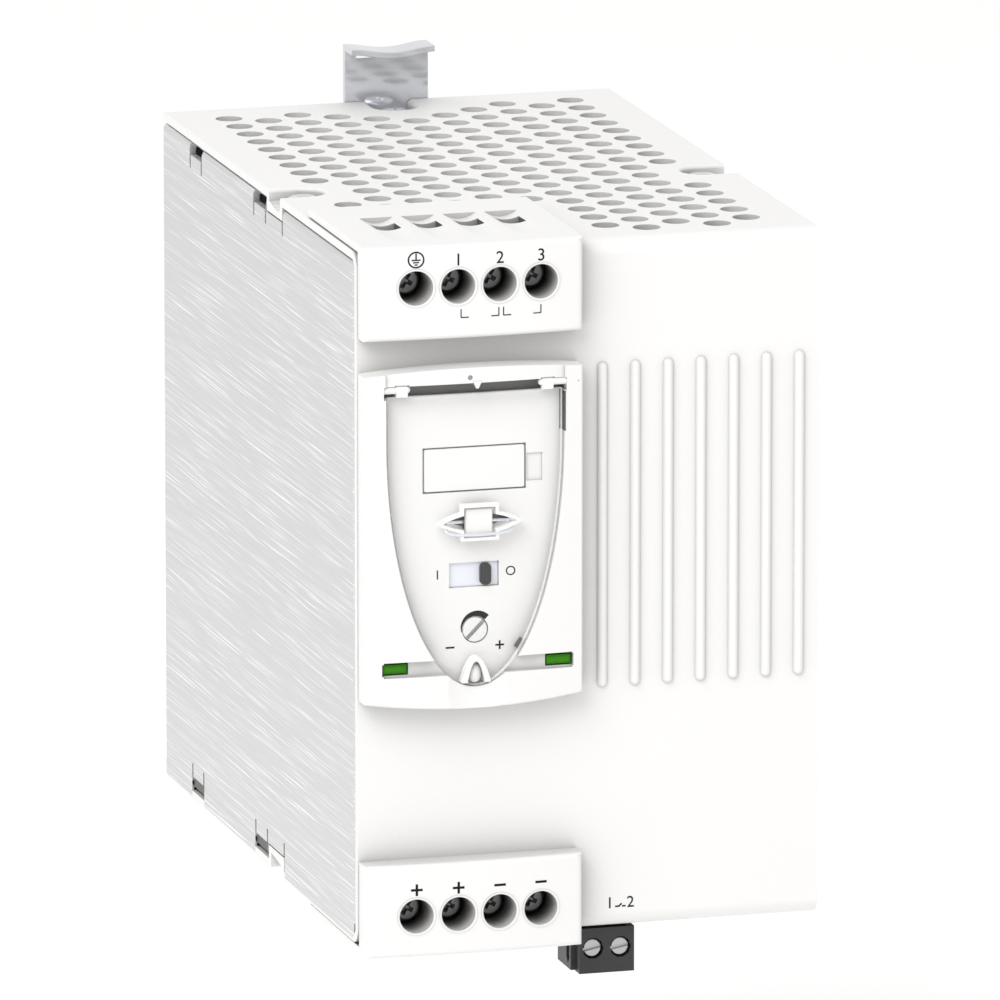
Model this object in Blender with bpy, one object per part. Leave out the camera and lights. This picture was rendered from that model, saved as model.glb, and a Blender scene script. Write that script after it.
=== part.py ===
"""DIN rail power supply, modelled as separate named pieces.

The origin is the centre of the rail seat on the back. +X points right seen from the front,
-Y points towards the front and +Z points up. All lengths are in metres.
"""

import math

import bmesh
import bpy
from mathutils import Vector

# Clearances
GAP = 0.0003
RUNNING_GAP = 0.0003
CUT_OVERRUN = 0.002
UNION_OVERLAP = 0.0006

# Case
CASE_WIDTH = 0.085
CASE_HEIGHT = 0.125
CASE_DEPTH = 0.134
RAIL_HEIGHT = 0.066
COVER_SHEET = 0.0015
COVER_BEND = 0.003
BEND_STEPS = 4
PANEL_SHEET = 0.0012
PANEL_BEND = 0.0011
PANEL_FLANGE = 0.009
PANEL_RETURN = 0.0018
REAR_SHEET = 0.0012
REAR_TAB_LENGTH = 0.011

# Windows and relief slits along the edges of the side panels, from the case front
PANEL_WINDOWS = ((0.0614, 0.0703), (0.1065, 0.1152))
WINDOW_DEPTH = 0.0024
SLIT_WIDTH = 0.0008
SLIT_DEPTH = 0.0025

# Vents, on a hexagonal grid
VENT_DIAMETER = 0.005
VENT_SIDES = 6
VENT_COLUMN_PITCH = 0.0065
VENT_ROW_PITCH = 0.0075
VENT_SIDE_MARGIN = 0.0085
VENT_BACK_MARGIN = 0.0092
VENT_FRONT_MARGIN = 0.0075
VENT_LAND = 0.0009
POCKET_LAND = 0.0006

# Cover screws in pockets pressed into the cover
COVER_SCREW_HEAD = 0.0058
COVER_SCREW_HEAD_HEIGHT = 0.0014
COVER_SCREW_SHANK = 0.0034
COVER_SCREW_LENGTH = 0.006
COVER_SCREW_INSET = 0.0053
COVER_SCREW_FROM_FRONT = 0.0555
POCKET_WIDTH = 0.0076
POCKET_DEPTH = 0.0025
TAB_MARGIN = 0.0004
TAB_REACH = 0.0115
SCREW_SIDES = 10
RECESS_ARM = 0.0008
RECESS_SPAN_SHARE = 0.62
RECESS_DEPTH = 0.0009

# Ribs on the front
RIB_WIDTH = 0.002
RIB_PITCH = 0.00605
RIB_HEIGHT = 0.059
RIB_FROM_TOP = 0.0219
RIB_MODULE_GAP = 0.0037
RIB_RIGHT_MARGIN = 0.0028
RIB_SIDES = 8
RIB_TIP_SHARE = 0.2

# Front mouldings: the two terminal blocks and the bezel
MODULE_WIDTH = 0.040
MODULE_INSET = 0.0002
MODULE_END_PROUD = 0.0042
MODULE_BOW = 0.001
MODULE_EDGE = 0.0008
BOW_STEPS = 10
APERTURE_LAND = 0.0018

# Terminal blocks
BLOCK_PROUD = 0.0017
BLOCK_FACE_HEIGHT = 0.0169
BLOCK_LID_DEPTH = 0.033
BLOCK_BODY_DEPTH = 0.024
BLOCK_BODY_DROP = 0.0134
POLE_COUNT = 4
POLE_PITCH = 0.00762
POLE_OFFSET = 0.0007
SCREW_AXIS_DROP = 0.0058
SCREW_HOLE = 0.0065
SCREW_HOLE_SIDES = 14
SCREW_HEAD = 0.0056
SCREW_HEAD_FRONT = 0.0015
SCREW_HEAD_LENGTH = 0.0024
SCREW_SHANK = 0.003
SCREW_WEB = 0.002
CLAMP_TRAVEL = 0.0025
CLAMP_WIDTH = 0.0062
CLAMP_HEIGHT = 0.0055
CLAMP_SIDE_WALL = 0.0007
CLAMP_END_WALL = 0.0012
CONTACT_THICKNESS = 0.001
CONTACT_WIDTH = 0.004
WIRE_SPACE = 0.0048
WIRE_WIDTH = 0.0046
WIRE_POCKET_DROP = 0.0121
FUNNEL_WIDTH = 0.0061
FUNNEL_FRONT = 0.0012
FUNNEL_BACK = 0.0217
FUNNEL_DEPTH = 0.001
FUNNEL_LIP = 0.00018
FUNNEL_STEPS = 4

# Bezel, placed down from the case top
BEZEL_FROM_TOP = 0.0215
BEZEL_HEIGHT = 0.059
BEZEL_TOP_ARC = 0.0009
BEZEL_BOTTOM_ARC = 0.0015
BEZEL_FLOOR_PROUD = 0.0024
RECESS_WIDTH = 0.0326
RECESS_HEIGHT = 0.0538
RECESS_CURVE = 0.0445
RECESS_BELOW_TOP = 0.0029
RECESS_STEPS = 16
PARTS_CENTRE = 0.0002
POST_DIAMETER = 0.003
POST_INSET_X = 0.0035
POST_INSET_Z = 0.006

# Flap and its hinge
FLAP_SHEET = 0.0012
FLAP_SINK = 0.00025
FLAP_GAP = 0.0004
HINGE_BELOW_TOP = 0.0026
HINGE_PROUD = 0.0036
HINGE_SLOT_UP = 0.0017
HINGE_SLOT_DOWN = 0.0016
EAR_RADIUS = 0.0012
EAR_LENGTH = 0.002
EAR_INSET = 0.002
PIN_DIAMETER = 0.0013
PIN_LENGTH = 0.0064
PIN_SEAT = 0.002
FLAP_TOP_DROP = 0.001
GRIP_WIDTH = 0.0046
GRIP_HEIGHT = 0.0042
GRIP_PROUD = 0.0007

# Label card
CARD_WIDTH = 0.0183
CARD_HEIGHT = 0.0076
CARD_THICKNESS = 0.0006
CARD_DOWN = 0.01775
CARD_RIGHT = 0.00035
CARD_PROUD = 0.0001

# Sealing staple and ring
SEAL_DOWN = 0.0270
SEAL_RIGHT = 0.0007
SEAL_SPAN = 0.0156
SEAL_LENS_HEIGHT = 0.0042
SEAL_BAY_HEIGHT = 0.0064
SEAL_BAY_WIDTH = 0.0068
STAPLE_WIDTH = 0.005
STAPLE_HEIGHT = 0.0048
STAPLE_LEG = 0.0009
STAPLE_PROUD = 0.002
STAPLE_TUNNEL = 0.0011
RING_SPAN = 0.0126
RING_WIRE = 0.0006
RING_SAG = 0.0011
RING_POINTS = 20
RING_SIDES = 6

# Slide switch
SWITCH_DOWN = 0.0369
SWITCH_RIGHT = 0.0003
SWITCH_WINDOW_WIDTH = 0.0091
SWITCH_WINDOW_HEIGHT = 0.0045
SWITCH_BODY_MARGIN = 0.0012
KNOB_WIDTH = 0.002
KNOB_HEIGHT = 0.0039
KNOB_PROUD = 0.0006
KNOB_FOOT_HEIGHT = 0.0026
KNOB_FOOT_DEPTH = 0.0019
KNOB_TRAVEL = 0.0045
KNOB_REST = 0.0021

# Trimmer
TRIMMER_DOWN = 0.0469
TRIMMER_RIGHT = 0.0005
TRIMMER_DIAMETER = 0.0042
TRIMMER_LENGTH = 0.0016
TRIMMER_PROUD = 0.0001
TRIMMER_SHANK = 0.0022
TRIMMER_SHANK_DEPTH = 0.0018
TRIMMER_BODY = 0.007
TRIMMER_SLOT = 0.0007
TRIMMER_SLOT_DEPTH = 0.0006
TRIMMER_SIDES = 16

# Light guides in a shallow groove
LIGHT_WIDTH = 0.0044
LIGHT_HEIGHT = 0.0016
LIGHT_DOWN = 0.0529
LIGHT_FROM_LEFT = 0.0056
LIGHT_FROM_RIGHT = 0.0043
GROOVE_HEIGHT = 0.0028
GROOVE_DEPTH = 0.0006

# Rail bracket, latch and spring
RAIL_SIZE = 0.035
PAD_PROUD = 0.0004
PAD_WIDTH = 0.030
PAD_HEIGHT = 0.030
BRACKET_SHEET = 0.0012
BRACKET_WIDTH = 0.034
BRACKET_BOTTOM = 0.0159
BRACKET_FOOT = 0.008
BRACKET_FOOT_HEIGHT = 0.018
BRACKET_SCREW_HEAD = 0.0056
BRACKET_SCREW_SHANK = 0.003
BRACKET_SCREW_LENGTH = 0.006
BRACKET_SCREW_HEAD_HEIGHT = 0.0011
HOOK_WIDTH = 0.008
HOOK_SHEET = 0.0012
HOOK_LIP = 0.0024
HOOK_MOUTH = 0.0016
RAIL_EDGE_GAP = 0.0005
LATCH_WIDTH = 0.016
LATCH_SHEET = 0.0012
LATCH_TRAVEL = 0.005
TAB_HEIGHT = 0.0107
TAB_LIP = 0.0047
TAB_DIP = 0.0009
TAB_STEPS = 8
SPRING_DIAMETER = 0.0044
SPRING_WIRE = 0.0006
SPRING_LENGTH = 0.0166
SPRING_CURLS = 9
SPRING_POINTS = 9
SPRING_BASE = 0.0252
SPRING_WINDOW = 0.0064
LUG_WIDTH = 0.0048
LUG_REACH = 0.0008

# Relay plug and header
RELAY_WIDTH = 0.0102
RELAY_FROM_MODULES = 0.0018
RELAY_FROM_FRONT = 0.0042
RELAY_DEPTH = 0.0108
RELAY_TOP_DROP = 0.0009
RELAY_DROP = 0.0092
RELAY_FACE_DEPTH = 0.0024
RELAY_FLANK = 0.0009
RELAY_KEEL = 0.0002
RELAY_NOSE_HEIGHT = 0.0085
RELAY_NOSE_INSET = 0.0012
RELAY_SHROUD_WALL = 0.0009
RELAY_SHROUD_HEIGHT = 0.012
RELAY_PITCH = 0.00508
RELAY_PULL = 0.014
RELAY_SCREW_DROP = 0.00464
RELAY_SCREW_HEAD = 0.0033
RELAY_SCREW_SHANK = 0.002
RELAY_SCREW_SINK = 0.0005
RELAY_SCREW_HEAD_LENGTH = 0.0013
RELAY_SCREW_WEB = 0.0009
RELAY_CLAMP_TRAVEL = 0.0012
RELAY_CLAMP_WIDTH = 0.0038
RELAY_CLAMP_HEIGHT = 0.0032
RELAY_CLAMP_WALL = 0.0006
RELAY_WIRE_SPACE = 0.0026
RELAY_SLOT = 0.0006
RELAY_SLOT_DEPTH = 0.0005
RELAY_SLOT_TURN = 11.0

# Boards and converter parts
BOARD_SHEET = 0.0016
CONTROL_BOARD_DEPTH = 0.0053
CONTROL_BOARD_MARGIN = 0.0012
FRONT_BOARD_WIDTH = 0.056
FRONT_BOARD_MARGIN = 0.009
MAIN_BOARD_STANDOFF = 0.0055
MAIN_BOARD_MARGIN = 0.014
MAIN_BOARD_FRONT = 0.030
STANDOFF_DIAMETER = 0.006
STANDOFF_SIDES = 8
CORE_SIZE = 0.040
CORE_DEPTH = 0.030
CORE_WINDOW = 0.008
CORE_LEG = 0.008
WINDING_WALL = 0.0012
CAPACITOR_DIAMETER = 0.024
CAPACITOR_LENGTH = 0.042
CAPACITOR_SIDES = 16
SINK_BASE = 0.003
SINK_FIN = 0.0016
SINK_FINS = 7
SINK_FIN_HEIGHT = 0.014
SINK_LENGTH = 0.075
SINK_HEIGHT = 0.062
CHOKE_DIAMETER = 0.022
CHOKE_BORE = 0.010
CHOKE_HEIGHT = 0.012
CHOKE_SIDES = 14
ALARM_WIDTH = 0.0127
ALARM_LENGTH = 0.020
ALARM_HEIGHT = 0.0156
ALARM_FOOT = 0.003

# Places derived from the sizes above
STANDOFF = PAD_PROUD + BRACKET_SHEET + LATCH_SHEET + 2 * RUNNING_GAP
BACK_Y = -STANDOFF
FRONT_Y = BACK_Y - CASE_DEPTH
BASE_Z = -RAIL_HEIGHT
TOP_Z = BASE_Z + CASE_HEIGHT
LEFT_X = -CASE_WIDTH / 2
RIGHT_X = CASE_WIDTH / 2
MODULE_LEFT = LEFT_X + MODULE_INSET
MODULE_RIGHT = MODULE_LEFT + MODULE_WIDTH
MODULE_X = (MODULE_LEFT + MODULE_RIGHT) / 2
PARTS_X = MODULE_X + PARTS_CENTRE
POLE_X = MODULE_X + POLE_OFFSET
BEZEL_TOP = TOP_Z - BEZEL_FROM_TOP
BEZEL_BOTTOM = BEZEL_TOP - BEZEL_HEIGHT
FLOOR_Y = FRONT_Y - BEZEL_FLOOR_PROUD
BEZEL_BACK_Y = FRONT_Y - GAP
RECESS_TOP = BEZEL_TOP - RECESS_BELOW_TOP
HINGE_Y = FRONT_Y - HINGE_PROUD
HINGE_Z = BEZEL_TOP - HINGE_BELOW_TOP
CONTROL_Y = FRONT_Y + CONTROL_BOARD_DEPTH
PANEL_OFFSET = COVER_SHEET + GAP
TAB_LEVEL = POCKET_DEPTH + COVER_SHEET + GAP
LATCH_BACK_Y = -PAD_PROUD - BRACKET_SHEET - RUNNING_GAP
LATCH_FRONT_Y = LATCH_BACK_Y - LATCH_SHEET
RELAY_X = MODULE_RIGHT + RELAY_FROM_MODULES + RELAY_WIDTH / 2
RELAY_FRONT_Y = FRONT_Y + RELAY_FROM_FRONT
RELAY_BACK_Y = RELAY_FRONT_Y + RELAY_DEPTH
FRONT_BOARD_Y = FRONT_Y + BLOCK_BODY_DEPTH + GAP
MAIN_BOARD_X = RIGHT_X - MAIN_BOARD_STANDOFF - GAP - BOARD_SHEET
PART_FACE_X = MAIN_BOARD_X - GAP

# Finishes: colour, roughness, metallic
FINISHES = {
    "white_paint": ((0.93, 0.92, 0.90), 0.45, 0.0),
    "white_moulding": ((0.95, 0.94, 0.92), 0.40, 0.0),
    "brushed_sheet": ((0.72, 0.72, 0.73), 0.38, 1.0),
    "zinc_steel": ((0.62, 0.64, 0.67), 0.30, 1.0),
    "dark_steel": ((0.09, 0.09, 0.09), 0.45, 1.0),
    "bright_steel": ((0.70, 0.70, 0.70), 0.25, 1.0),
    "clear_plastic": ((0.95, 0.95, 0.95), 0.08, 0.0),
    "card": ((0.97, 0.97, 0.97), 0.70, 0.0),
    "black_plastic": ((0.02, 0.02, 0.02), 0.45, 0.0),
    "pale_plastic": ((0.78, 0.80, 0.85), 0.40, 0.0),
    "green_window": ((0.04, 0.26, 0.01), 0.25, 0.0),
    "board": ((0.03, 0.16, 0.06), 0.45, 0.0),
    "ferrite": ((0.06, 0.06, 0.065), 0.60, 0.0),
    "winding": ((0.55, 0.33, 0.10), 0.40, 0.0),
    "capacitor_sleeve": ((0.03, 0.04, 0.07), 0.35, 0.0),
    "aluminium": ((0.75, 0.75, 0.76), 0.40, 1.0),
}


def clear_scene():
    """Remove every object that the scene holds."""
    for item in list(bpy.data.objects):
        bpy.data.objects.remove(item, do_unlink=True)


def finish_material(name):
    """Return the named finish as a material."""
    material = bpy.data.materials.get(name)
    if material is None:
        colour, roughness, metallic = FINISHES[name]
        material = bpy.data.materials.new(name)
        material.use_nodes = True
        shader = material.node_tree.nodes["Principled BSDF"]
        shader.inputs["Base Color"].default_value = (*colour, 1.0)
        shader.inputs["Roughness"].default_value = roughness
        shader.inputs["Metallic"].default_value = metallic
    return material


def rectangle(u0, v0, u1, v1):
    """Return the corners of a rectangle."""
    return [(u0, v0), (u1, v0), (u1, v1), (u0, v1)]


def arc(u, v, radius, start, end, steps):
    """Return the points of an arc, with angles in degrees."""
    points = []
    for step in range(steps + 1):
        angle = math.radians(start + (end - start) * step / steps)
        points.append((u + radius * math.cos(angle), v + radius * math.sin(angle)))
    return points


def circle(u, v, diameter, sides):
    """Return a regular polygon round a point."""
    return arc(u, v, diameter / 2, 0, 360, sides)[:-1]


def cross(u, v, span, arm):
    """Return a plus-shaped outline round a point."""
    far = span / 2
    near = arm / 2
    return [
        (u + far, v - near), (u + far, v + near), (u + near, v + near), (u + near, v + far),
        (u - near, v + far), (u - near, v + near), (u - far, v + near), (u - far, v - near),
        (u - near, v - near), (u - near, v - far), (u + near, v - far), (u + near, v - near),
    ]


def on_axis(axis, u, v, w):
    """Return the point at w along an axis, with u and v along the other two in X, Y, Z order."""
    return {"X": (w, u, v), "Y": (u, w, v), "Z": (u, v, w)}[axis]


def add_rings(shape, rings):
    """Add a closed body through a row of rings of points."""
    rows = [[shape.verts.new(point) for point in ring] for ring in rings]
    count = len(rows[0])
    for near, far in zip(rows, rows[1:]):
        for index in range(count):
            after = (index + 1) % count
            shape.faces.new((near[index], near[after], far[after], far[index]))
    shape.faces.new(rows[0])
    shape.faces.new(rows[-1])


def add_prism(shape, outline, axis, start, end):
    """Add an outline swept straight along an axis."""
    rings = [[on_axis(axis, u, v, w) for u, v in outline] for w in (start, end)]
    add_rings(shape, rings)


def add_box(shape, low, high):
    """Add a box between two corners."""
    add_prism(shape, rectangle(low[0], low[1], high[0], high[1]), "Z", low[2], high[2])


def add_turned(shape, axis, u, v, profile, sides):
    """Add a turned body along an axis, from (place, diameter) pairs."""
    rings = []
    for place, diameter in profile:
        rings.append([on_axis(axis, *point, place) for point in circle(u, v, diameter, sides)])
    add_rings(shape, rings)


def to_mesh(name, shape, pivot):
    """Turn a bmesh into a mesh that faces outwards, centred on its pivot."""
    bmesh.ops.recalc_face_normals(shape, faces=shape.faces)
    bmesh.ops.translate(shape, verts=shape.verts, vec=-Vector(pivot))
    mesh = bpy.data.meshes.new(name)
    shape.to_mesh(mesh)
    shape.free()
    return mesh


def make(name, shape, finish, pivot=(0, 0, 0), smooth=False):
    """Make a named piece from a bmesh, with its origin at the pivot."""
    mesh = to_mesh(name, shape, pivot)
    mesh.materials.append(finish_material(finish))
    if smooth:
        mesh.shade_smooth()
        mesh.set_sharp_from_angle(angle=math.radians(40))
    piece = bpy.data.objects.new(name, mesh)
    piece.location = pivot
    bpy.context.scene.collection.objects.link(piece)
    return piece


def combine(piece, operation, shape):
    """Cut a piece by a shape, or join the shape to it."""
    name = f"{piece.name}_{operation.lower()}_{len(piece.modifiers) + 1}"
    tool = bpy.data.objects.new(name, to_mesh(name, shape, (0, 0, 0)))
    tool.hide_render = True
    tool.display_type = "WIRE"
    bpy.context.scene.collection.objects.link(tool)
    modifier = piece.modifiers.new(name, "BOOLEAN")
    modifier.operation = operation
    modifier.solver = "EXACT"
    modifier.object = tool


def bevel_edges(shape, keep, width, segments):
    """Round the edges whose two ends satisfy a test."""
    bmesh.ops.recalc_face_normals(shape, faces=shape.faces)
    edges = [edge for edge in shape.edges if keep(edge.verts[0].co, edge.verts[1].co)]
    bmesh.ops.bevel(
        shape, geom=edges, offset=width, offset_type="OFFSET", segments=segments, profile=0.5, affect="EDGES",
    )


def near(value, target):
    """Tell whether two lengths are equal but for rounding."""
    return abs(value - target) < 1e-6


def cover_profile():
    """Return the bent section of the cover, in Y and Z."""
    inner = COVER_BEND - COVER_SHEET
    bend_y = FRONT_Y + COVER_BEND
    upper_z = TOP_Z - COVER_BEND
    lower_z = BASE_Z + COVER_BEND
    points = [(BACK_Y, TOP_Z)]
    points += arc(bend_y, upper_z, COVER_BEND, 90, 180, BEND_STEPS)
    points += arc(bend_y, lower_z, COVER_BEND, 180, 270, BEND_STEPS)
    points += [(BACK_Y, BASE_Z), (BACK_Y, BASE_Z + COVER_SHEET)]
    points += arc(bend_y, lower_z, inner, 270, 180, BEND_STEPS)
    points += arc(bend_y, upper_z, inner, 180, 90, BEND_STEPS)
    points += [(BACK_Y, TOP_Z - COVER_SHEET)]
    return points


def pocket_places(upper):
    """Return the X, Y and mouth direction in degrees of each screw pocket in the top or the bottom."""
    y = FRONT_Y + COVER_SCREW_FROM_FRONT
    inset = RIGHT_X - COVER_SCREW_INSET
    places = [(-inset, y, 180), (inset, y, 0)]
    if upper:
        places.append((0.0, BACK_Y - COVER_SCREW_INSET, 90))
    return places


def pocket_outline(x, y, turn, half, reach):
    """Return a round-ended pocket that runs from its screw out to an edge."""
    points = arc(0, 0, half, 90, 270, 6) + [(reach, -half), (reach, half)]
    angle = math.radians(turn)
    cosine = round(math.cos(angle))
    sine = round(math.sin(angle))
    return [(x + cosine * u - sine * v, y + sine * u + cosine * v) for u, v in points]


def reserved_zones(upper):
    """Return the (low X, low Y, high X, high Y) zones of the top or bottom that hold no vents."""
    lid_back = FRONT_Y + BLOCK_LID_DEPTH
    zones = [(LEFT_X, FRONT_Y, MODULE_RIGHT, lid_back)]
    half = POCKET_WIDTH / 2 + POCKET_LAND
    for x, y, turn in pocket_places(upper):
        depth = COVER_SCREW_INSET + half
        if turn == 90:
            zones.append((x - half, BACK_Y - depth, x + half, BACK_Y))
        elif x < 0:
            zones.append((LEFT_X, y - half, LEFT_X + depth, y + half))
        else:
            zones.append((RIGHT_X - depth, y - half, RIGHT_X, y + half))
    if not upper:
        half = RELAY_WIDTH / 2 + APERTURE_LAND
        zones.append((RELAY_X - half, FRONT_Y, RELAY_X + half, RELAY_BACK_Y + APERTURE_LAND))
    return zones


def vent_places(upper):
    """Return the centres of the vents in the top or the bottom."""
    columns = int((CASE_WIDTH / 2 - VENT_SIDE_MARGIN) / VENT_COLUMN_PITCH)
    rows = int((CASE_DEPTH - VENT_BACK_MARGIN - VENT_FRONT_MARGIN) / VENT_ROW_PITCH) + 1
    keep_off = VENT_DIAMETER / 2 + VENT_LAND
    zones = reserved_zones(upper)
    places = []
    for column in range(-columns, columns + 1):
        x = column * VENT_COLUMN_PITCH
        shift = 0.0 if (column - columns) % 2 == 0 else VENT_ROW_PITCH / 2
        for row in range(rows):
            y = BACK_Y - VENT_BACK_MARGIN - shift - row * VENT_ROW_PITCH
            blocked = y < FRONT_Y + VENT_FRONT_MARGIN
            for low_x, low_y, high_x, high_y in zones:
                inside_x = low_x - keep_off < x < high_x + keep_off
                inside_y = low_y - keep_off < y < high_y + keep_off
                blocked = blocked or (inside_x and inside_y)
            if not blocked:
                places.append((x, y))
    return places


def block_aperture():
    """Return the X and depth limits of the cover's opening for a terminal block."""
    return MODULE_LEFT + APERTURE_LAND, MODULE_RIGHT - APERTURE_LAND, FRONT_Y + BLOCK_BODY_DEPTH + GAP


def build_cover():
    """Build the cover: a bent sheet with ribs, hooks, apertures, notches and vents."""
    shape = bmesh.new()
    add_prism(shape, cover_profile(), "X", LEFT_X, RIGHT_X)
    cover = make("cover_shell", shape, "white_paint", smooth=True)

    ribs = bmesh.new()
    first = MODULE_RIGHT + RIB_MODULE_GAP + RIB_WIDTH / 2
    count = int((RIGHT_X - RIB_RIGHT_MARGIN - first) / RIB_PITCH) + 1
    high = TOP_Z - RIB_FROM_TOP
    low = high - RIB_HEIGHT
    end = RIB_WIDTH / 2
    slope = end * math.sqrt(0.5)
    for index in range(count):
        profile = [
            (low, RIB_TIP_SHARE * RIB_WIDTH), (low + end - slope, 2 * slope), (low + end, RIB_WIDTH),
            (high - end, RIB_WIDTH), (high - end + slope, 2 * slope), (high, RIB_TIP_SHARE * RIB_WIDTH),
        ]
        add_turned(ribs, "Z", first + index * RIB_PITCH, FRONT_Y + GAP / 2, profile, RIB_SIDES)
    combine(cover, "UNION", ribs)

    for upper in (True, False):
        level_z = edge_level(upper)
        floors = bmesh.new()
        hollows = bmesh.new()
        levels = sorted((level_z(-POCKET_DEPTH - COVER_SHEET), level_z(-COVER_SHEET / 2)))
        opened = sorted((level_z(-POCKET_DEPTH), level_z(CUT_OVERRUN)))
        half = POCKET_WIDTH / 2
        for x, y, turn in pocket_places(upper):
            outer = pocket_outline(x, y, turn, half + COVER_SHEET, COVER_SCREW_INSET)
            add_prism(floors, outer, "Z", levels[0], levels[1])
            inner = pocket_outline(x, y, turn, half, COVER_SCREW_INSET + CUT_OVERRUN)
            add_prism(hollows, inner, "Z", opened[0], opened[1])
        combine(cover, "UNION", floors)
        combine(cover, "DIFFERENCE", hollows)

    cuts = bmesh.new()
    left, right, deep = block_aperture()
    face_drop = BLOCK_FACE_HEIGHT - BLOCK_PROUD - APERTURE_LAND
    front = FRONT_Y - CUT_OVERRUN
    add_box(cuts, (left, front, TOP_Z - face_drop), (right, deep, TOP_Z + CUT_OVERRUN))
    add_box(cuts, (left, front, BASE_Z - CUT_OVERRUN), (right, deep, BASE_Z + face_drop))
    inner_front = FRONT_Y + COVER_SHEET + CUT_OVERRUN
    low_z = BEZEL_BOTTOM + APERTURE_LAND
    add_box(cuts, (left, front, low_z), (right, inner_front, BEZEL_TOP - APERTURE_LAND))
    half = RELAY_WIDTH / 2 + RELAY_SHROUD_WALL + GAP
    low = (RELAY_X - half, RELAY_FRONT_Y - RELAY_SHROUD_WALL - GAP, BASE_Z - CUT_OVERRUN)
    high = (RELAY_X + half, RELAY_BACK_Y + RELAY_SHROUD_WALL + GAP, BASE_Z + COVER_SHEET + CUT_OVERRUN)
    add_box(cuts, low, high)
    combine(cover, "DIFFERENCE", cuts)

    under = TOP_Z - COVER_SHEET - CUT_OVERRUN
    over = TOP_Z + CUT_OVERRUN
    vents = bmesh.new()
    for x, y in vent_places(True):
        add_prism(vents, circle(x, y, VENT_DIAMETER, VENT_SIDES), "Z", under, over)
    for x, y in vent_places(False):
        sides = circle(x, y, VENT_DIAMETER, VENT_SIDES)
        add_prism(vents, sides, "Z", BASE_Z - CUT_OVERRUN, BASE_Z + COVER_SHEET + CUT_OVERRUN)
    deep = POCKET_DEPTH + CUT_OVERRUN
    for upper in (True, False):
        edge = edge_level(upper)(0.0)
        bore = COVER_SCREW_SHANK + 2 * GAP
        for x, y, _ in pocket_places(upper):
            add_prism(vents, circle(x, y, bore, SCREW_SIDES), "Z", edge - deep, edge + deep)
    combine(cover, "DIFFERENCE", vents)


def panel_x(side, inwards):
    """Return the X of a place that lies inwards from a side face."""
    return side * (CASE_WIDTH / 2 - inwards)


def add_panel_box(shape, side, inwards, y_range, z_range):
    """Add a box given by distances in from a side face."""
    places = sorted(panel_x(side, distance) for distance in inwards)
    add_box(shape, (places[0], y_range[0], z_range[0]), (places[1], y_range[1], z_range[1]))


def window_outline(start, end, edge, inwards):
    """Return an edge window with a relief slit at each end, in Y and Z."""
    outside = edge - inwards * CUT_OVERRUN
    sill = edge + inwards * WINDOW_DEPTH
    slit = sill + inwards * SLIT_DEPTH
    return [
        (start, outside), (start, slit), (start + SLIT_WIDTH, slit), (start + SLIT_WIDTH, sill),
        (end - SLIT_WIDTH, sill), (end - SLIT_WIDTH, slit), (end, slit), (end, outside),
    ]


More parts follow.
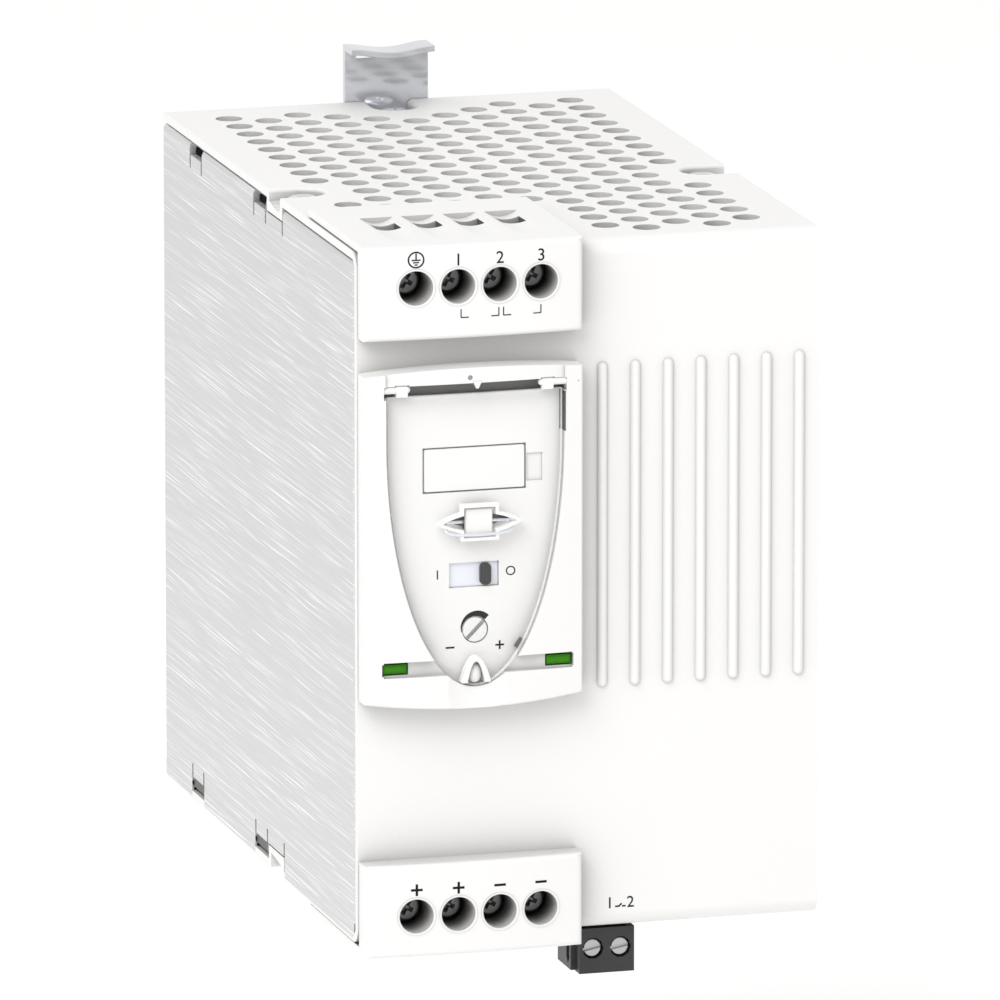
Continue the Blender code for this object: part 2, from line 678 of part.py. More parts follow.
def build_side_panel(name, side):
    """Build a side sheet with bent edges, edge windows, relief slits and a screw hole."""
    front = FRONT_Y + PANEL_OFFSET
    low = BASE_Z + PANEL_OFFSET
    high = TOP_Z - PANEL_OFFSET
    face = panel_x(side, 0)
    shape = bmesh.new()
    add_panel_box(shape, side, (0, PANEL_FLANGE), (front, BACK_Y), (low, high))

    def at_corner(a, b):
        return near(a.y, front) and near(b.y, front) and near(a.z, b.z)

    def on_bend(a, b):
        on_face = near(a.x, face) and near(b.x, face)
        return on_face and not (near(a.y, BACK_Y) and near(b.y, BACK_Y))

    bevel_edges(shape, at_corner, COVER_BEND - COVER_SHEET - GAP, BEND_STEPS)
    bevel_edges(shape, on_bend, PANEL_BEND, 2)
    panel = make(name, shape, "brushed_sheet")

    hollow = bmesh.new()
    beyond = PANEL_FLANGE + CUT_OVERRUN
    inner_z = (low + PANEL_SHEET, high - PANEL_SHEET)
    add_panel_box(hollow, side, (PANEL_SHEET, beyond), (front + PANEL_SHEET, BACK_Y + CUT_OVERRUN), inner_z)
    combine(panel, "DIFFERENCE", hollow)

    relief = bmesh.new()
    relief_back = FRONT_Y + BLOCK_BODY_DEPTH + 4 * GAP + BOARD_SHEET
    add_panel_box(
        relief, side, (PANEL_RETURN, beyond), (FRONT_Y, relief_back), (low - CUT_OVERRUN, high + CUT_OVERRUN),
    )
    combine(panel, "DIFFERENCE", relief)

    windows = bmesh.new()
    places = sorted((panel_x(side, -CUT_OVERRUN), panel_x(side, PANEL_BEND + PANEL_SHEET / 2)))
    for start, end in PANEL_WINDOWS:
        for edge, inwards in ((high, -1), (low, 1)):
            outline = window_outline(FRONT_Y + start, FRONT_Y + end, edge, inwards)
            add_prism(windows, outline, "X", places[0], places[1])
    combine(panel, "DIFFERENCE", windows)

    rooms = bmesh.new()
    tabs = bmesh.new()
    holes = bmesh.new()
    screw_y = FRONT_Y + COVER_SCREW_FROM_FRONT
    reach = POCKET_WIDTH / 2 + COVER_SHEET + TAB_MARGIN
    places = sorted((panel_x(side, -CUT_OVERRUN), panel_x(side, beyond)))
    tab_in = (PANEL_SHEET - UNION_OVERLAP, TAB_REACH)
    tab_y = (screw_y - reach + SLIT_WIDTH, screw_y + reach)
    for upper, inwards in ((True, -1), (False, 1)):
        level_z = edge_level(upper)
        sill = level_z(-TAB_LEVEL)
        slit = sill + inwards * SLIT_DEPTH
        outside = level_z(CUT_OVERRUN)
        start = screw_y - reach
        outline = [
            (start, outside), (start, slit), (start + SLIT_WIDTH, slit), (start + SLIT_WIDTH, sill),
            (screw_y + reach, sill), (screw_y + reach, outside),
        ]
        add_prism(rooms, outline, "X", places[0], places[1])
        tab_z = sorted((sill, sill + inwards * PANEL_SHEET))
        add_panel_box(tabs, side, tab_in, tab_y, tab_z)
        bore = circle(panel_x(side, COVER_SCREW_INSET), screw_y, COVER_SCREW_SHANK + 2 * GAP, SCREW_SIDES)
        add_prism(holes, bore, "Z", tab_z[0] - CUT_OVERRUN / 2, tab_z[1] + CUT_OVERRUN / 2)
    combine(panel, "DIFFERENCE", rooms)
    combine(panel, "UNION", tabs)
    combine(panel, "DIFFERENCE", holes)
    return panel


def main_board_box():
    """Return the Y and Z limits of the main board."""
    y_range = (FRONT_Y + MAIN_BOARD_FRONT, BACK_Y - MAIN_BOARD_MARGIN)
    return y_range, (BASE_Z + MAIN_BOARD_MARGIN, TOP_Z - MAIN_BOARD_MARGIN)


def build_panels():
    """Build both side panels, with standoffs for the main board on the right one."""
    build_side_panel("left_side_panel", -1)
    right = build_side_panel("right_side_panel", 1)
    standoffs = bmesh.new()
    y_range, z_range = main_board_box()
    inset = STANDOFF_DIAMETER
    root = RIGHT_X - PANEL_SHEET + UNION_OVERLAP
    for y in (y_range[0] + inset, y_range[1] - inset):
        for z in (z_range[0] + inset, z_range[1] - inset):
            outline = circle(y, z, STANDOFF_DIAMETER, STANDOFF_SIDES)
            add_prism(standoffs, outline, "X", RIGHT_X - MAIN_BOARD_STANDOFF, root)
    combine(right, "UNION", standoffs)


def bracket_screw_x():
    """Return how far the bracket's screws stand from the middle."""
    return BRACKET_WIDTH / 2 + BRACKET_FOOT / 2


def spring_place():
    """Return the X, Y and lower Z of the latch spring's axis."""
    return 0.0, (LATCH_FRONT_Y + LATCH_BACK_Y) / 2, SPRING_BASE


def build_rear_plate():
    """Build the rear sheet: screw tab at the top, spring window with its lug, bracket screw holes."""
    half = CASE_WIDTH / 2 - PANEL_SHEET - GAP
    inset = PANEL_OFFSET + PANEL_SHEET + GAP
    inner_y = BACK_Y - REAR_SHEET
    shape = bmesh.new()
    add_box(shape, (-half, inner_y, BASE_Z + inset), (half, BACK_Y, TOP_Z - inset))
    plate = make("rear_plate", shape, "zinc_steel")

    room = bmesh.new()
    tab_top = TOP_Z - TAB_LEVEL
    room_half = POCKET_WIDTH / 2 + COVER_SHEET + GAP
    low = (-room_half, inner_y - CUT_OVERRUN, tab_top)
    add_box(room, low, (room_half, BACK_Y + CUT_OVERRUN, TOP_Z))
    combine(plate, "DIFFERENCE", room)
    tab = bmesh.new()
    tab_half = room_half - GAP
    low = (-tab_half, BACK_Y - REAR_TAB_LENGTH, tab_top - REAR_SHEET)
    add_box(tab, low, (tab_half, inner_y + UNION_OVERLAP, tab_top))
    combine(plate, "UNION", tab)

    lug_top = SPRING_BASE - GAP
    cuts = bmesh.new()
    window = SPRING_WINDOW / 2
    window_top = SPRING_BASE + SPRING_LENGTH + 2 * GAP + REAR_SHEET
    add_box(cuts, (-window, inner_y - CUT_OVERRUN, lug_top), (window, BACK_Y + CUT_OVERRUN, window_top))
    bore = circle(0, BACK_Y - COVER_SCREW_INSET, COVER_SCREW_SHANK + 2 * GAP, SCREW_SIDES)
    add_prism(cuts, bore, "Z", tab_top - REAR_SHEET - CUT_OVERRUN / 2, tab_top + CUT_OVERRUN / 2)
    for side in (-1, 1):
        bore = circle(side * bracket_screw_x(), 0, BRACKET_SCREW_SHANK + 2 * GAP, SCREW_SIDES)
        add_prism(cuts, bore, "Y", inner_y - CUT_OVERRUN, BACK_Y + CUT_OVERRUN)
    combine(plate, "DIFFERENCE", cuts)

    lug = bmesh.new()
    low = (-LUG_WIDTH / 2, BACK_Y - UNION_OVERLAP, lug_top - REAR_SHEET)
    add_box(lug, low, (LUG_WIDTH / 2, -LUG_REACH, lug_top))
    combine(plate, "UNION", lug)


def build_bracket():
    """Build the rail bracket: channel for the latch, seat pad, screw feet and two upper hooks."""
    half = BRACKET_WIDTH / 2
    face = -PAD_PROUD
    under = face - BRACKET_SHEET
    foot_y = BACK_Y + GAP
    channel = LATCH_WIDTH / 2 + RUNNING_GAP
    hook_top = RAIL_SIZE / 2 + RAIL_EDGE_GAP
    top = hook_top + HOOK_SHEET
    foot = half + BRACKET_FOOT
    outline = [
        (-foot, foot_y), (-channel, foot_y), (-channel, under),
        (channel, under), (channel, foot_y), (foot, foot_y),
        (foot, foot_y + BRACKET_SHEET), (half, foot_y + BRACKET_SHEET), (half, face), (-half, face),
        (-half, foot_y + BRACKET_SHEET), (-foot, foot_y + BRACKET_SHEET),
    ]
    shape = bmesh.new()
    add_prism(shape, outline, "Z", -BRACKET_BOTTOM, top)
    bracket = make("rail_bracket", shape, "zinc_steel")

    trims = bmesh.new()
    foot_half = BRACKET_FOOT_HEIGHT / 2
    for side in (-1, 1):
        places = sorted((side * half, side * (foot + CUT_OVERRUN)))
        for low_z, high_z in ((-BRACKET_BOTTOM - CUT_OVERRUN, -foot_half), (foot_half, top + CUT_OVERRUN)):
            add_box(trims, (places[0], BACK_Y, low_z), (places[1], CUT_OVERRUN, high_z))
        bore = circle(side * bracket_screw_x(), 0, BRACKET_SCREW_SHANK + 2 * GAP, SCREW_SIDES)
        add_prism(trims, bore, "Y", BACK_Y - CUT_OVERRUN, 0)
    combine(bracket, "DIFFERENCE", trims)

    added = bmesh.new()
    pad_half = PAD_WIDTH / 2
    tall = PAD_HEIGHT / 2
    add_box(added, (-pad_half, face - UNION_OVERLAP, -tall), (pad_half, 0, tall))
    outer = HOOK_MOUTH + HOOK_SHEET
    hook = [
        (face - UNION_OVERLAP, hook_top), (HOOK_MOUTH, hook_top), (HOOK_MOUTH, hook_top - HOOK_LIP),
        (outer, hook_top - HOOK_LIP), (outer, top), (face - UNION_OVERLAP, top),
    ]
    for side in (-1, 1):
        places = sorted((side * half, side * (half - HOOK_WIDTH)))
        add_prism(added, hook, "X", places[0], places[1])
    combine(bracket, "UNION", added)


def build_latch():
    """Build the sliding latch: hook below, spring window, and a waved thumb lip above the case."""
    half = LATCH_WIDTH / 2
    lip_top = TOP_Z + TAB_HEIGHT
    shelf_top = -RAIL_SIZE / 2 - RAIL_EDGE_GAP
    shelf_bottom = shelf_top - HOOK_SHEET
    outer = HOOK_MOUTH + HOOK_SHEET
    profile = [
        (LATCH_FRONT_Y, shelf_bottom), (outer, shelf_bottom), (outer, shelf_top + HOOK_LIP),
        (HOOK_MOUTH, shelf_top + HOOK_LIP), (HOOK_MOUTH, shelf_top), (LATCH_BACK_Y, shelf_top),
        (LATCH_BACK_Y, lip_top), (LATCH_FRONT_Y - TAB_LIP, lip_top),
        (LATCH_FRONT_Y - TAB_LIP, lip_top - LATCH_SHEET), (LATCH_FRONT_Y, lip_top - LATCH_SHEET),
    ]
    rings = []
    for step in range(TAB_STEPS + 1):
        x = half * (2 * step / TAB_STEPS - 1)
        wave = TAB_DIP * 0.5 * (1 + math.cos(math.pi * x / half))
        ring = []
        for y, z in profile:
            raised = z > TOP_Z + TAB_HEIGHT / 2
            ring.append((x, y, z - wave if raised else z))
        rings.append(ring)
    shape = bmesh.new()
    add_rings(shape, rings)
    latch = make("rail_latch", shape, "zinc_steel", (0, (LATCH_FRONT_Y + LATCH_BACK_Y) / 2, 0))

    window = bmesh.new()
    lug_bottom = SPRING_BASE - GAP - REAR_SHEET
    top = SPRING_BASE + SPRING_LENGTH + GAP
    low = (-SPRING_WINDOW / 2, LATCH_FRONT_Y - CUT_OVERRUN, lug_bottom - GAP)
    add_box(window, low, (SPRING_WINDOW / 2, LATCH_BACK_Y + CUT_OVERRUN, top))
    combine(latch, "DIFFERENCE", window)


def spring_points():
    """Return the points of the latch spring: a helix with a straight tail at each end."""
    x, y, low = spring_place()
    radius = (SPRING_DIAMETER - SPRING_WIRE) / 2
    start = low + SPRING_WIRE
    rise = SPRING_LENGTH - 2 * SPRING_WIRE
    count = SPRING_CURLS * SPRING_POINTS
    points = [(x + radius, y, low)]
    for index in range(count + 1):
        angle = 2 * math.pi * index / SPRING_POINTS
        z = start + rise * index / count
        points.append((x + radius * math.cos(angle), y + radius * math.sin(angle), z))
    points.append((x + radius, y, low + SPRING_LENGTH))
    return points


def build_spring():
    """Build the latch spring as one tube, and print its least gap to itself."""
    points = spring_points()
    least = min(
        (Vector(points[i]) - Vector(points[j])).length
        for i in range(len(points))
        for j in range(i + SPRING_POINTS - 1, len(points))
    )
    print(f"latch_spring least gap to itself: {1000 * (least - SPRING_WIRE):.2f} mm")
    data = bpy.data.curves.new("latch_spring", "CURVE")
    data.dimensions = "3D"
    data.bevel_depth = SPRING_WIRE / 2
    data.bevel_resolution = 1
    data.use_fill_caps = True
    spline = data.splines.new("POLY")
    spline.points.add(len(points) - 1)
    for point, place in zip(spline.points, points):
        point.co = (*place, 1.0)
    data.materials.append(finish_material("bright_steel"))
    bpy.context.scene.collection.objects.link(bpy.data.objects.new("latch_spring", data))


def headed_screw(name, axis, u, v, profile, finish, pivot):
    """Build a turned screw along an axis from (place, diameter) pairs."""
    shape = bmesh.new()
    add_turned(shape, axis, u, v, profile, SCREW_SIDES)
    return make(name, shape, finish, pivot, smooth=True)


def cut_cross(screw, axis, u, v, span, start, end):
    """Cut a cross recess into a screw head."""
    tool = bmesh.new()
    add_prism(tool, cross(u, v, span, RECESS_ARM), axis, start, end)
    combine(screw, "DIFFERENCE", tool)


def build_case_screws():
    """Build the cover screws in their pockets and the two bracket screws."""
    span = RECESS_SPAN_SHARE * COVER_SCREW_HEAD
    for upper, names in ((True, ("top_screw_left", "top_screw_right", "top_screw_rear")),
                         (False, ("bottom_screw_left", "bottom_screw_right"))):
        level_z = edge_level(upper)
        seat = GAP - POCKET_DEPTH
        top = seat + COVER_SCREW_HEAD_HEIGHT
        shoulder = top - 0.4 * COVER_SCREW_HEAD_HEIGHT
        profile = [
            (level_z(top), 0.6 * COVER_SCREW_HEAD), (level_z(shoulder), COVER_SCREW_HEAD),
            (level_z(seat), COVER_SCREW_HEAD), (level_z(seat), COVER_SCREW_SHANK),
            (level_z(seat - COVER_SCREW_LENGTH), COVER_SCREW_SHANK),
        ]
        for name, (x, y, _) in zip(names, pocket_places(upper)):
            screw = headed_screw(name, "Z", x, y, profile, "bright_steel", (x, y, level_z(seat)))
            cut_cross(screw, "Z", x, y, span, level_z(top - RECESS_DEPTH), level_z(top + CUT_OVERRUN))

    seat_y = BACK_Y + GAP + BRACKET_SHEET + GAP
    head_y = seat_y + BRACKET_SCREW_HEAD_HEIGHT
    profile = [
        (head_y, BRACKET_SCREW_HEAD), (seat_y, BRACKET_SCREW_HEAD), (seat_y, BRACKET_SCREW_SHANK),
        (seat_y - BRACKET_SCREW_LENGTH, BRACKET_SCREW_SHANK),
    ]
    span = RECESS_SPAN_SHARE * BRACKET_SCREW_HEAD
    for name, side in (("bracket_screw_left", -1), ("bracket_screw_right", 1)):
        x = side * bracket_screw_x()
        screw = headed_screw(name, "Y", x, 0, profile, "bright_steel", (x, seat_y, 0))
        cut_cross(screw, "Y", x, 0, span, head_y - RECESS_DEPTH / 2, head_y + CUT_OVERRUN)


def bow(x):
    """Return how far the bowed front mouldings stand proud of the case front at x."""
    reach = (x - MODULE_X) / (MODULE_WIDTH / 2)
    return MODULE_END_PROUD + MODULE_BOW * (1 - reach * reach)


def bow_columns():
    """Return the X of the columns that divide a bowed front."""
    return [MODULE_LEFT + MODULE_WIDTH * step / BOW_STEPS for step in range(BOW_STEPS + 1)]


def add_bowed(shape, back_y, low, high):
    """Add a moulding with a bowed front between two edges given as functions of X."""
    rings = []
    for x in bow_columns():
        front = FRONT_Y - bow(x)
        rings.append([(x, front, low(x)), (x, front, high(x)), (x, back_y, high(x)), (x, back_y, low(x))])
    add_rings(shape, rings)

    def on_rim(a, b):
        fronts = near(a.y, FRONT_Y - bow(a.x)) and near(b.y, FRONT_Y - bow(b.x))
        upper = near(a.z, high(a.x)) and near(b.z, high(b.x))
        lower = near(a.z, low(a.x)) and near(b.z, low(b.x))
        at_end = near(a.x, b.x) and not MODULE_LEFT + GAP < a.x < MODULE_RIGHT - GAP
        return fronts and (upper or lower or at_end)

    bevel_edges(shape, on_rim, MODULE_EDGE, 2)


def pole_places():
    """Return the X of each terminal."""
    return [POLE_X + POLE_PITCH * (index - (POLE_COUNT - 1) / 2) for index in range(POLE_COUNT)]


def pole_depths():
    """Return the Y of what lies along a terminal screw."""
    head_front = FRONT_Y + SCREW_HEAD_FRONT
    head_back = head_front + SCREW_HEAD_LENGTH
    cavity_front = head_back + GAP + SCREW_WEB
    clamp_front = cavity_front + RUNNING_GAP + CLAMP_TRAVEL
    tip = clamp_front + CLAMP_END_WALL + 4 * GAP
    contact_front = tip + GAP
    wire_front = contact_front + CONTACT_THICKNESS + GAP
    wire_back = wire_front + WIRE_SPACE
    clamp_back = wire_back + GAP + CLAMP_END_WALL
    return {
        "head_front": head_front, "head_back": head_back, "cavity_front": cavity_front,
        "clamp_front": clamp_front, "tip": tip, "contact_front": contact_front, "wire_front": wire_front,
        "wire_back": wire_back, "clamp_back": clamp_back, "cavity_back": clamp_back + RUNNING_GAP,
    }


def edge_level(upper):
    """Return a function that gives the Z of a height above the case's top, or below its bottom."""
    if upper:
        return lambda level: TOP_Z + level
    return lambda level: BASE_Z - level


def add_level_box(shape, level_z, x_range, y_range, levels):
    """Add a box whose height is given in levels outwards from the case's edge."""
    z = sorted(level_z(level) for level in levels)
    add_box(shape, (x_range[0], y_range[0], z[0]), (x_range[1], y_range[1], z[1]))


def add_funnel(shape, level_z, x):
    """Add a wire funnel: a shallow round trough that deepens towards its far end."""
    half = FUNNEL_WIDTH / 2 * math.sqrt(1 + FUNNEL_LIP / FUNNEL_DEPTH)
    open_z = level_z(BLOCK_PROUD + CUT_OVERRUN)
    rings = []
    for y, depth in ((FRONT_Y + FUNNEL_FRONT, FUNNEL_LIP), (FRONT_Y + FUNNEL_BACK, FUNNEL_DEPTH)):
        ring = [(x + half, y, open_z), (x - half, y, open_z)]
        for step in range(FUNNEL_STEPS + 1):
            reach = 2 * step / FUNNEL_STEPS - 1
            sag = (depth + FUNNEL_LIP) * (1 - reach * reach) - FUNNEL_LIP
            ring.append((x + half * reach, y, level_z(BLOCK_PROUD - sag)))
        rings.append(ring)
    add_rings(shape, rings)


def build_block(name, upper):
    """Build a terminal block: bowed face, lid, body, screwdriver holes, wire funnels and clamp bays."""
    level_z = edge_level(upper)
    face = sorted((level_z(BLOCK_PROUD), level_z(BLOCK_PROUD - BLOCK_FACE_HEIGHT)))
    back = FRONT_Y - GAP
    shape = bmesh.new()
    add_bowed(shape, back, lambda x: face[0], lambda x: face[1])
    block = make(name, shape, "white_moulding")

    left, right, deep = block_aperture()
    lid = bmesh.new()
    lid_front = back - MODULE_END_PROUD / 2
    lid_back = FRONT_Y + BLOCK_LID_DEPTH
    add_level_box(lid, level_z, (MODULE_LEFT, MODULE_RIGHT), (lid_front, lid_back), (GAP, BLOCK_PROUD))
    combine(block, "UNION", lid)

    body = bmesh.new()
    levels = (-BLOCK_BODY_DROP, BLOCK_PROUD / 2 + GAP)
    add_level_box(body, level_z, (left + GAP, right - GAP), (lid_front, deep - GAP), levels)
    combine(block, "UNION", body)

    depths = pole_depths()
    axis_z = level_z(-SCREW_AXIS_DROP)
    bay_half = CLAMP_HEIGHT / 2 + RUNNING_GAP
    funnels = bmesh.new()
    bays = bmesh.new()
    wires = bmesh.new()
    bores = bmesh.new()
    contacts = bmesh.new()
    for x in pole_places():
        add_funnel(funnels, level_z, x)
        bay_x = (x - CLAMP_WIDTH / 2 - RUNNING_GAP, x + CLAMP_WIDTH / 2 + RUNNING_GAP)
        bay_y = (depths["cavity_front"], depths["cavity_back"])
        bay_levels = (-SCREW_AXIS_DROP - bay_half, -SCREW_AXIS_DROP + bay_half)
        add_level_box(bays, level_z, bay_x, bay_y, bay_levels)
        wire_x = (x - WIRE_WIDTH / 2, x + WIRE_WIDTH / 2)
        wire_y = (depths["wire_front"], depths["wire_back"])
        add_level_box(wires, level_z, wire_x, wire_y, (-WIRE_POCKET_DROP, BLOCK_PROUD + CUT_OVERRUN))
        hole = circle(x, axis_z, SCREW_HOLE, SCREW_HOLE_SIDES)
        add_prism(wires, hole, "Y", FRONT_Y - 3 * MODULE_END_PROUD, depths["head_back"] + GAP)
        bore = circle(x, axis_z, SCREW_SHANK + 2 * RUNNING_GAP, SCREW_SIDES)
        add_prism(bores, bore, "Y", depths["head_back"], depths["cavity_front"] + GAP)
        contact_x = (x - CONTACT_WIDTH / 2, x + CONTACT_WIDTH / 2)
        contact_y = (depths["contact_front"], depths["contact_front"] + CONTACT_THICKNESS)
        contact_half = bay_half + UNION_OVERLAP
        contact_levels = (-SCREW_AXIS_DROP - contact_half, -SCREW_AXIS_DROP + contact_half)
        add_level_box(contacts, level_z, contact_x, contact_y, contact_levels)
    bmesh.ops.triangulate(funnels, faces=funnels.faces)
    combine(block, "DIFFERENCE", funnels)
    combine(block, "DIFFERENCE", bays)
    combine(block, "DIFFERENCE", wires)
    combine(block, "DIFFERENCE", bores)
    combine(block, "UNION", contacts)


def build_clamp(name, x, y_range, z, size, walls, bore, pivot):
    """Build a clamp: a cage round the wire, with a hole for the screw in its front wall."""
    width, height = size
    side_wall, end_wall = walls
    shape = bmesh.new()
    low_z = z - height / 2
    high_z = z + height / 2
    add_box(shape, (x - width / 2, y_range[0], low_z), (x + width / 2, y_range[1], high_z))
    clamp = make(name, shape, "zinc_steel", pivot)
    window = bmesh.new()
    inner = width / 2 - side_wall
    low = (x - inner, y_range[0] + end_wall, low_z - CUT_OVERRUN)
    add_box(window, low, (x + inner, y_range[1] - end_wall, high_z + CUT_OVERRUN))
    combine(clamp, "DIFFERENCE", window)
    hole = bmesh.new()
    outline = circle(x, z, bore, SCREW_SIDES)
    add_prism(hole, outline, "Y", y_range[0] - CUT_OVERRUN / 2, y_range[0] + end_wall + CUT_OVERRUN / 4)
    combine(clamp, "DIFFERENCE", hole)


def build_terminals(prefix, upper):
    """Build the screws and clamps of one terminal block."""
    z = edge_level(upper)(-SCREW_AXIS_DROP)
    depths = pole_depths()
    head = depths["head_front"]
    profile = [
        (head, SCREW_HEAD), (depths["head_back"], SCREW_HEAD), (depths["head_back"], SCREW_SHANK),
        (depths["tip"], SCREW_SHANK),
    ]
    clamp_y = (depths["clamp_front"], depths["clamp_back"])
    walls = (CLAMP_SIDE_WALL, CLAMP_END_WALL)
    bore = SCREW_SHANK + 2 * RUNNING_GAP
    for index, x in enumerate(pole_places(), 1):
        pivot = (x, head, z)
        screw = headed_screw(f"{prefix}_screw_{index}", "Y", x, z, profile, "dark_steel", pivot)
        cut_cross(screw, "Y", x, z, RECESS_SPAN_SHARE * SCREW_HEAD, head - CUT_OVERRUN, head + RECESS_DEPTH)
        size = (CLAMP_WIDTH, CLAMP_HEIGHT)
        build_clamp(f"{prefix}_clamp_{index}", x, clamp_y, z, size, walls, bore, (x, clamp_y[0], z))


def recess_curve(inset):
    """Return the rounded lower edge of the recess from left to right, drawn in by an inset, as (X, Z)."""
    half = RECESS_WIDTH / 2 - inset
    centre = RECESS_TOP - RECESS_HEIGHT + RECESS_CURVE
    drop = RECESS_CURVE - inset
    return [(PARTS_X + half * u, centre + drop * v) for u, v in arc(0, 0, 1, 180, 360, RECESS_STEPS)]


def seal_centre():
    """Return the X and Z of the sealing staple."""
    return PARTS_X + SEAL_RIGHT, BEZEL_TOP - SEAL_DOWN


def seal_outline(grow):
    """Return the flap's sealing opening: a lens with a square bay, enlarged on every side."""
    span = SEAL_SPAN / 2 + 2 * grow
    lens = SEAL_LENS_HEIGHT / 2 + grow
    bay_x = SEAL_BAY_WIDTH / 2 + grow
    bay_z = SEAL_BAY_HEIGHT / 2 + grow
    shoulder = lens * (1 - (bay_x / span) ** 2)
    middle_x = (span + bay_x) / 2
    middle_z = lens * (1 - (middle_x / span) ** 2)
    quarter = [(span, 0.0), (middle_x, middle_z), (bay_x, shoulder), (bay_x, bay_z)]
    x, z = seal_centre()
    points = [(x + u, z + v) for u, v in quarter]
    points += [(x - u, z + v) for u, v in reversed(quarter)]
    points += [(x - u, z - v) for u, v in quarter[1:]]
    points += [(x + u, z - v) for u, v in reversed(quarter[1:])]
    return points


def light_places():
    """Return the X of the two indicator windows."""
    return MODULE_LEFT + LIGHT_FROM_LEFT, MODULE_RIGHT - LIGHT_FROM_RIGHT


def build_bezel():
    """Build the bezel: bowed face, rounded recess, hinge slot, windows, sealing staple and board posts."""
    back = BEZEL_BACK_Y
    ahead = FRONT_Y - 3 * MODULE_END_PROUD
    half = MODULE_WIDTH / 2

    def arched(edge, rise):
        return lambda x: edge + rise * (1 - ((x - MODULE_X) / half) ** 2)

    shape = bmesh.new()
    add_bowed(shape, back, arched(BEZEL_BOTTOM, -BEZEL_BOTTOM_ARC), arched(BEZEL_TOP, BEZEL_TOP_ARC))
    bezel = make("front_bezel", shape, "white_moulding")

    recess = bmesh.new()
    half_width = RECESS_WIDTH / 2
    outline = [(PARTS_X - half_width, RECESS_TOP)] + recess_curve(0.0) + [(PARTS_X + half_width, RECESS_TOP)]
    add_prism(recess, outline, "Y", ahead, FLOOR_Y)
    combine(bezel, "DIFFERENCE", recess)

    groove = bmesh.new()
    light_z = BEZEL_TOP - LIGHT_DOWN
    for x in light_places():
        side = -1 if x < MODULE_X else 1
        places = sorted((PARTS_X, MODULE_X + side * (half - MODULE_EDGE)))
        low = (places[0], ahead, light_z - GROOVE_HEIGHT / 2)
        groove_back = FRONT_Y - MODULE_END_PROUD + GROOVE_DEPTH
        add_box(groove, low, (places[1], groove_back, light_z + GROOVE_HEIGHT / 2))
        combine(bezel, "DIFFERENCE", groove)
        groove = bmesh.new()
    groove.free()

    openings = bmesh.new()
    through = back + CUT_OVERRUN
    slot_half = RECESS_WIDTH / 2 + FLAP_GAP
    low = (PARTS_X - slot_half, ahead, HINGE_Z - HINGE_SLOT_DOWN)
    add_box(openings, low, (PARTS_X + slot_half, through, HINGE_Z + HINGE_SLOT_UP))
    switch_z = BEZEL_TOP - SWITCH_DOWN
    switch_x = PARTS_X + SWITCH_RIGHT
    low = (switch_x - SWITCH_WINDOW_WIDTH / 2, ahead, switch_z - SWITCH_WINDOW_HEIGHT / 2)
    add_box(openings, low, (switch_x + SWITCH_WINDOW_WIDTH / 2, through, switch_z + SWITCH_WINDOW_HEIGHT / 2))
    dial_hole = TRIMMER_DIAMETER + 2 * RUNNING_GAP
    dial = circle(PARTS_X + TRIMMER_RIGHT, BEZEL_TOP - TRIMMER_DOWN, dial_hole, TRIMMER_SIDES)
    add_prism(openings, dial, "Y", ahead, through)
    card_z = BEZEL_TOP - CARD_DOWN
    card_half = CARD_WIDTH / 2 + GAP
    card_floor = FLOOR_Y - CARD_PROUD + CARD_THICKNESS + GAP
    low = (PARTS_X + CARD_RIGHT - card_half, ahead, card_z - CARD_HEIGHT / 2 - GAP)
    add_box(openings, low, (PARTS_X + CARD_RIGHT + card_half, card_floor, card_z + CARD_HEIGHT / 2 + GAP))
    for x in light_places():
        low = (x - LIGHT_WIDTH / 2 - GAP, ahead, light_z - LIGHT_HEIGHT / 2 - GAP)
        add_box(openings, low, (x + LIGHT_WIDTH / 2 + GAP, through, light_z + LIGHT_HEIGHT / 2 + GAP))
    combine(bezel, "DIFFERENCE", openings)

    bores = bmesh.new()
    for side in (-1, 1):
        wall = PARTS_X + side * slot_half
        places = sorted((wall - side * GAP, wall + side * (PIN_SEAT + GAP)))
        bore = circle(HINGE_Y, HINGE_Z, PIN_DIAMETER + 2 * GAP, SCREW_SIDES)
        add_prism(bores, bore, "X", places[0], places[1])
    combine(bezel, "DIFFERENCE", bores)

    added = bmesh.new()
    seal_x, seal_z = seal_centre()
    face = FLOOR_Y - STAPLE_PROUD
    tall = STAPLE_HEIGHT / 2
    eye = tall - STAPLE_LEG
    root = FLOOR_Y + UNION_OVERLAP
    under = FLOOR_Y - STAPLE_TUNNEL
    staple = [
        (root, seal_z - tall), (root, seal_z - eye), (under, seal_z - eye), (under, seal_z + eye),
        (root, seal_z + eye), (root, seal_z + tall), (face, seal_z + tall), (face, seal_z - tall),
    ]
    add_prism(added, staple, "X", seal_x - STAPLE_WIDTH / 2, seal_x + STAPLE_WIDTH / 2)
    for x in (MODULE_LEFT + POST_INSET_X, MODULE_RIGHT - POST_INSET_X):
        for z in (BEZEL_BOTTOM + POST_INSET_Z + GROOVE_HEIGHT * 2, BEZEL_TOP - POST_INSET_Z):
            post = circle(x, z, POST_DIAMETER, STANDOFF_SIDES)
            add_prism(added, post, "Y", back - UNION_OVERLAP, CONTROL_Y - GAP)
    combine(bezel, "UNION", added)


def ear_place(side):
    """Return the X range of a flap ear."""
    outer = PARTS_X + side * (RECESS_WIDTH / 2 - EAR_INSET)
    return sorted((outer, outer - side * EAR_LENGTH))


